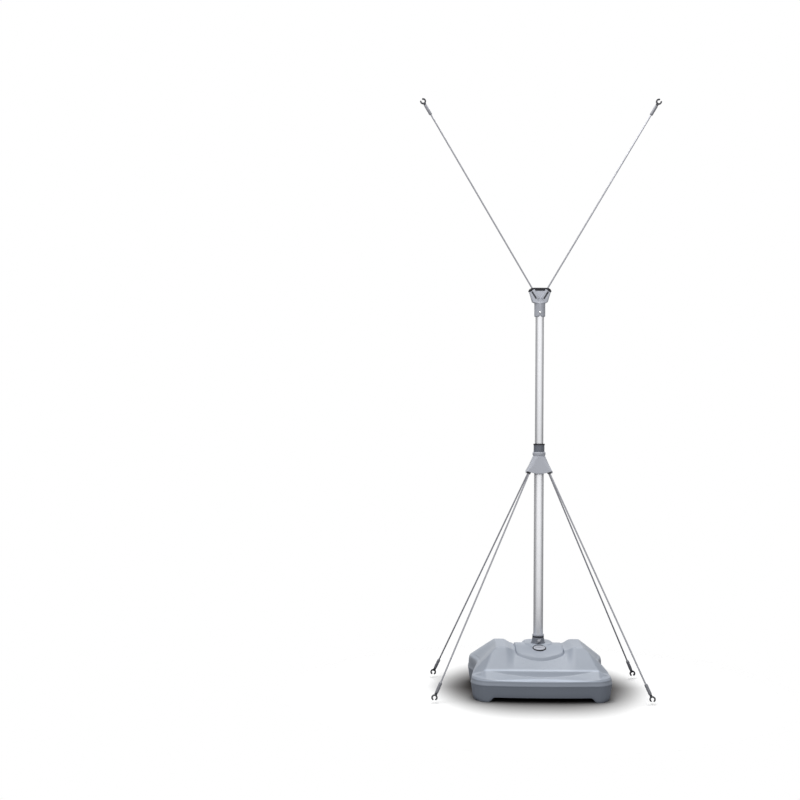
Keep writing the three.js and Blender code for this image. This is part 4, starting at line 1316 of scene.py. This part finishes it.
@dataclass
class Studio:
    """Camera, floor, world and soft lamps."""

    camera_place: Point = (-0.3897, -4.5929, 0.9485)
    camera_turn: float = 0.832
    camera_roll: float = -0.3
    lens: float = 63.0
    sensor: float = 36.0
    clip_end: float = 200.0
    floor_size: float = 12.0
    floor_roughness: float = 0.9
    floor_fade: tuple[float, float] = (0.55, 0.85)
    floor_bounce: Colour = (0.05, 0.055, 0.07)
    floor_mirrored: float = 0.25
    # of each axis: the painted shadow's middle, its half width and how square it is
    shadow_axes: tuple[tuple[str, float, float, float], ...] = (
        ("X", 0.0, 0.365, 3.0), ("Y", 0.045, 0.485, 1.5)
    )
    shadow_range: tuple[float, float] = (0.12, 1.15)
    # colour of the painted drop shadow at its darkest
    shadow_colour: Colour = (0.03, 0.025, 0.023)
    dome_low: float = 0.27
    dome_high: float = 0.5
    dome_rise: float = 0.8
    mirror_dark: float = 0.36
    mirror_bright: float = 1.25
    mirror_front_span: tuple[float, float] = (-0.8, -0.1)
    mirror_low: float = 0.78
    mirror_low_span: tuple[float, float] = (-0.16, 0.0)
    mirror_back: float = 0.6
    mirror_back_span: tuple[float, float] = (0.75, 0.95)
    # each lamp: name, place, target, width and power
    lamps: tuple[tuple[str, Point, Point, float, float], ...] = (
        ("key", (-0.7, -0.5, 3.3), (0, 0, 0.0), 1.7, 38.0),
        ("top", (0.4, 0.9, 3.3), (0, 0, 0.0), 1.7, 36.0),
        ("front", (-0.25, -1.5, 1.25), (0, 0.1, 1.25), 0.8, 7.0),
    )

    def camera(self) -> None:
        """Sets the camera at the photograph's viewing angle."""
        data = bpy.data.cameras.new("camera")
        data.sensor_width = self.sensor
        data.lens = self.lens
        data.clip_end = self.clip_end
        camera = bpy.data.objects.new("camera", data)
        camera.location = self.camera_place
        camera.rotation_euler = (QUARTER, math.radians(self.camera_roll), math.radians(self.camera_turn))
        bpy.context.scene.collection.objects.link(camera)
        bpy.context.scene.camera = camera

    def world(self) -> None:
        """Lights the object from a pale dome, shows white behind it and mirrors a dome bright in front.

        The mirrored dome darkens to the sides, so that round metal has dark edges, and below the horizon.
        """
        world = bpy.data.worlds.new("world")
        world.use_nodes = True
        tree = world.node_tree
        tree.nodes.clear()
        place = add_node(tree, "TexCoord", {}, {}).outputs["Generated"]
        split = add_node(tree, "SeparateXYZ", {}, {0: place}).outputs
        back, rise = Signal(tree, split["Y"]), Signal(tree, split["Z"])
        sides = back.clamped(*self.mirror_front_span, self.mirror_bright, self.mirror_dark)
        sides = sides + back.clamped(*self.mirror_back_span, 0, self.mirror_back)
        below = rise.clamped(*self.mirror_low_span, self.mirror_low, 1)
        rays = add_node(tree, "LightPath", {}, {}).outputs
        glossy = Signal(tree, rays["Is Glossy Ray"])
        seen = Signal(tree, rays["Is Camera Ray"]) + Signal(tree, rays["Is Transmission Ray"])
        shown = seen.clamped(0, 1)
        diffuse = 1 - (glossy + seen).clamped(0, 1)
        glow = rise.clamped(0, self.dome_rise, self.dome_low, self.dome_high)
        strength = shown + glossy * (1 - shown) * sides * below + diffuse * glow
        dome = add_node(tree, "Background", {}, {"Color": (1, 1, 1, 1), "Strength": strength})
        add_node(tree, "OutputWorld", {}, {0: dome.outputs[0]})
        bpy.context.scene.world = world

    def shadow(self, shader: Shader) -> Signal:
        """Marks the soft drop shadow that is painted into the floor's colour.

        Args:
            shader: the floor's material.

        Returns:
            A signal that falls from 1 under the base to 0 outside the shadow.
        """
        far = shader.coordinate("Z")
        for axis, middle, half, exponent in self.shadow_axes:
            far = far + ((shader.coordinate(axis) - middle).size() / half).power(exponent)
        return far.clamped(*self.shadow_range, 1, 0, eased=True)

    def floor(self) -> None:
        """Lays a pale floor that reads white, keeps the lamps' shadows and has a soft drop shadow painted
        into its colour.
        """
        deselect()
        bpy.ops.mesh.primitive_plane_add(size=self.floor_size, location=(0, 0, 0))
        floor = bpy.context.object
        floor.name = "floor"
        shader = Shader("floor", self.floor_roughness)
        shader.put("Specular IOR Level", 0.0)
        tree = shader.tree
        rays = add_node(tree, "LightPath", {}, {}).outputs
        shown = Signal(tree, rays["Is Camera Ray"]) + Signal(tree, rays["Is Transmission Ray"])
        shown = shown + Signal(tree, rays["Is Glossy Ray"]) * self.floor_mirrored
        # Painted shadow: the floor's colour darkens towards the shadow colour round the base
        painted_shadow_tone = coloured(tree, self.shadow(shader), (1, 1, 1), self.shadow_colour)
        shader.put("Base Color", coloured(tree, shown.clamped(0, 1), self.floor_bounce, painted_shadow_tone))
        length = add_node(tree, "VectorMath", {"operation": "LENGTH"}, {0: shader.place})
        shader.put("Alpha", Signal(tree, length.outputs["Value"]).clamped(*self.floor_fade, 1, 0))
        floor.data.materials.append(shader.material)

    def light(self) -> None:
        """Hangs the soft lamps."""
        for name, place, target, size, power in self.lamps:
            data = bpy.data.lights.new(name, "AREA")
            data.shape = "DISK"
            data.size = size
            data.energy = power
            lamp = bpy.data.objects.new(name, data)
            lamp.location = place
            lamp.visible_glossy = name != "front"
            lamp.rotation_euler = (Vector(target) - Vector(place)).to_track_quat("-Z", "Y").to_euler()
            bpy.context.scene.collection.objects.link(lamp)

    def build(self) -> None:
        """Sets up the whole studio."""
        self.camera()
        self.world()
        self.floor()
        self.light()
        bpy.context.scene.view_settings.view_transform = "Standard"


def main() -> None:
    """Builds the studio and every sub-assembly."""
    logging.basicConfig(level=logging.INFO, format="%(name)s: %(message)s")
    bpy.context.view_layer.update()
    for assembly in (Studio(), WaterBase(), Filler(), PoleSeat(), Pole(), LowerHub(), UpperHub(), Rods()):
        assembly.build()
        log.info("%s built", type(assembly).__name__)


if __name__ == "__main__":
    main()
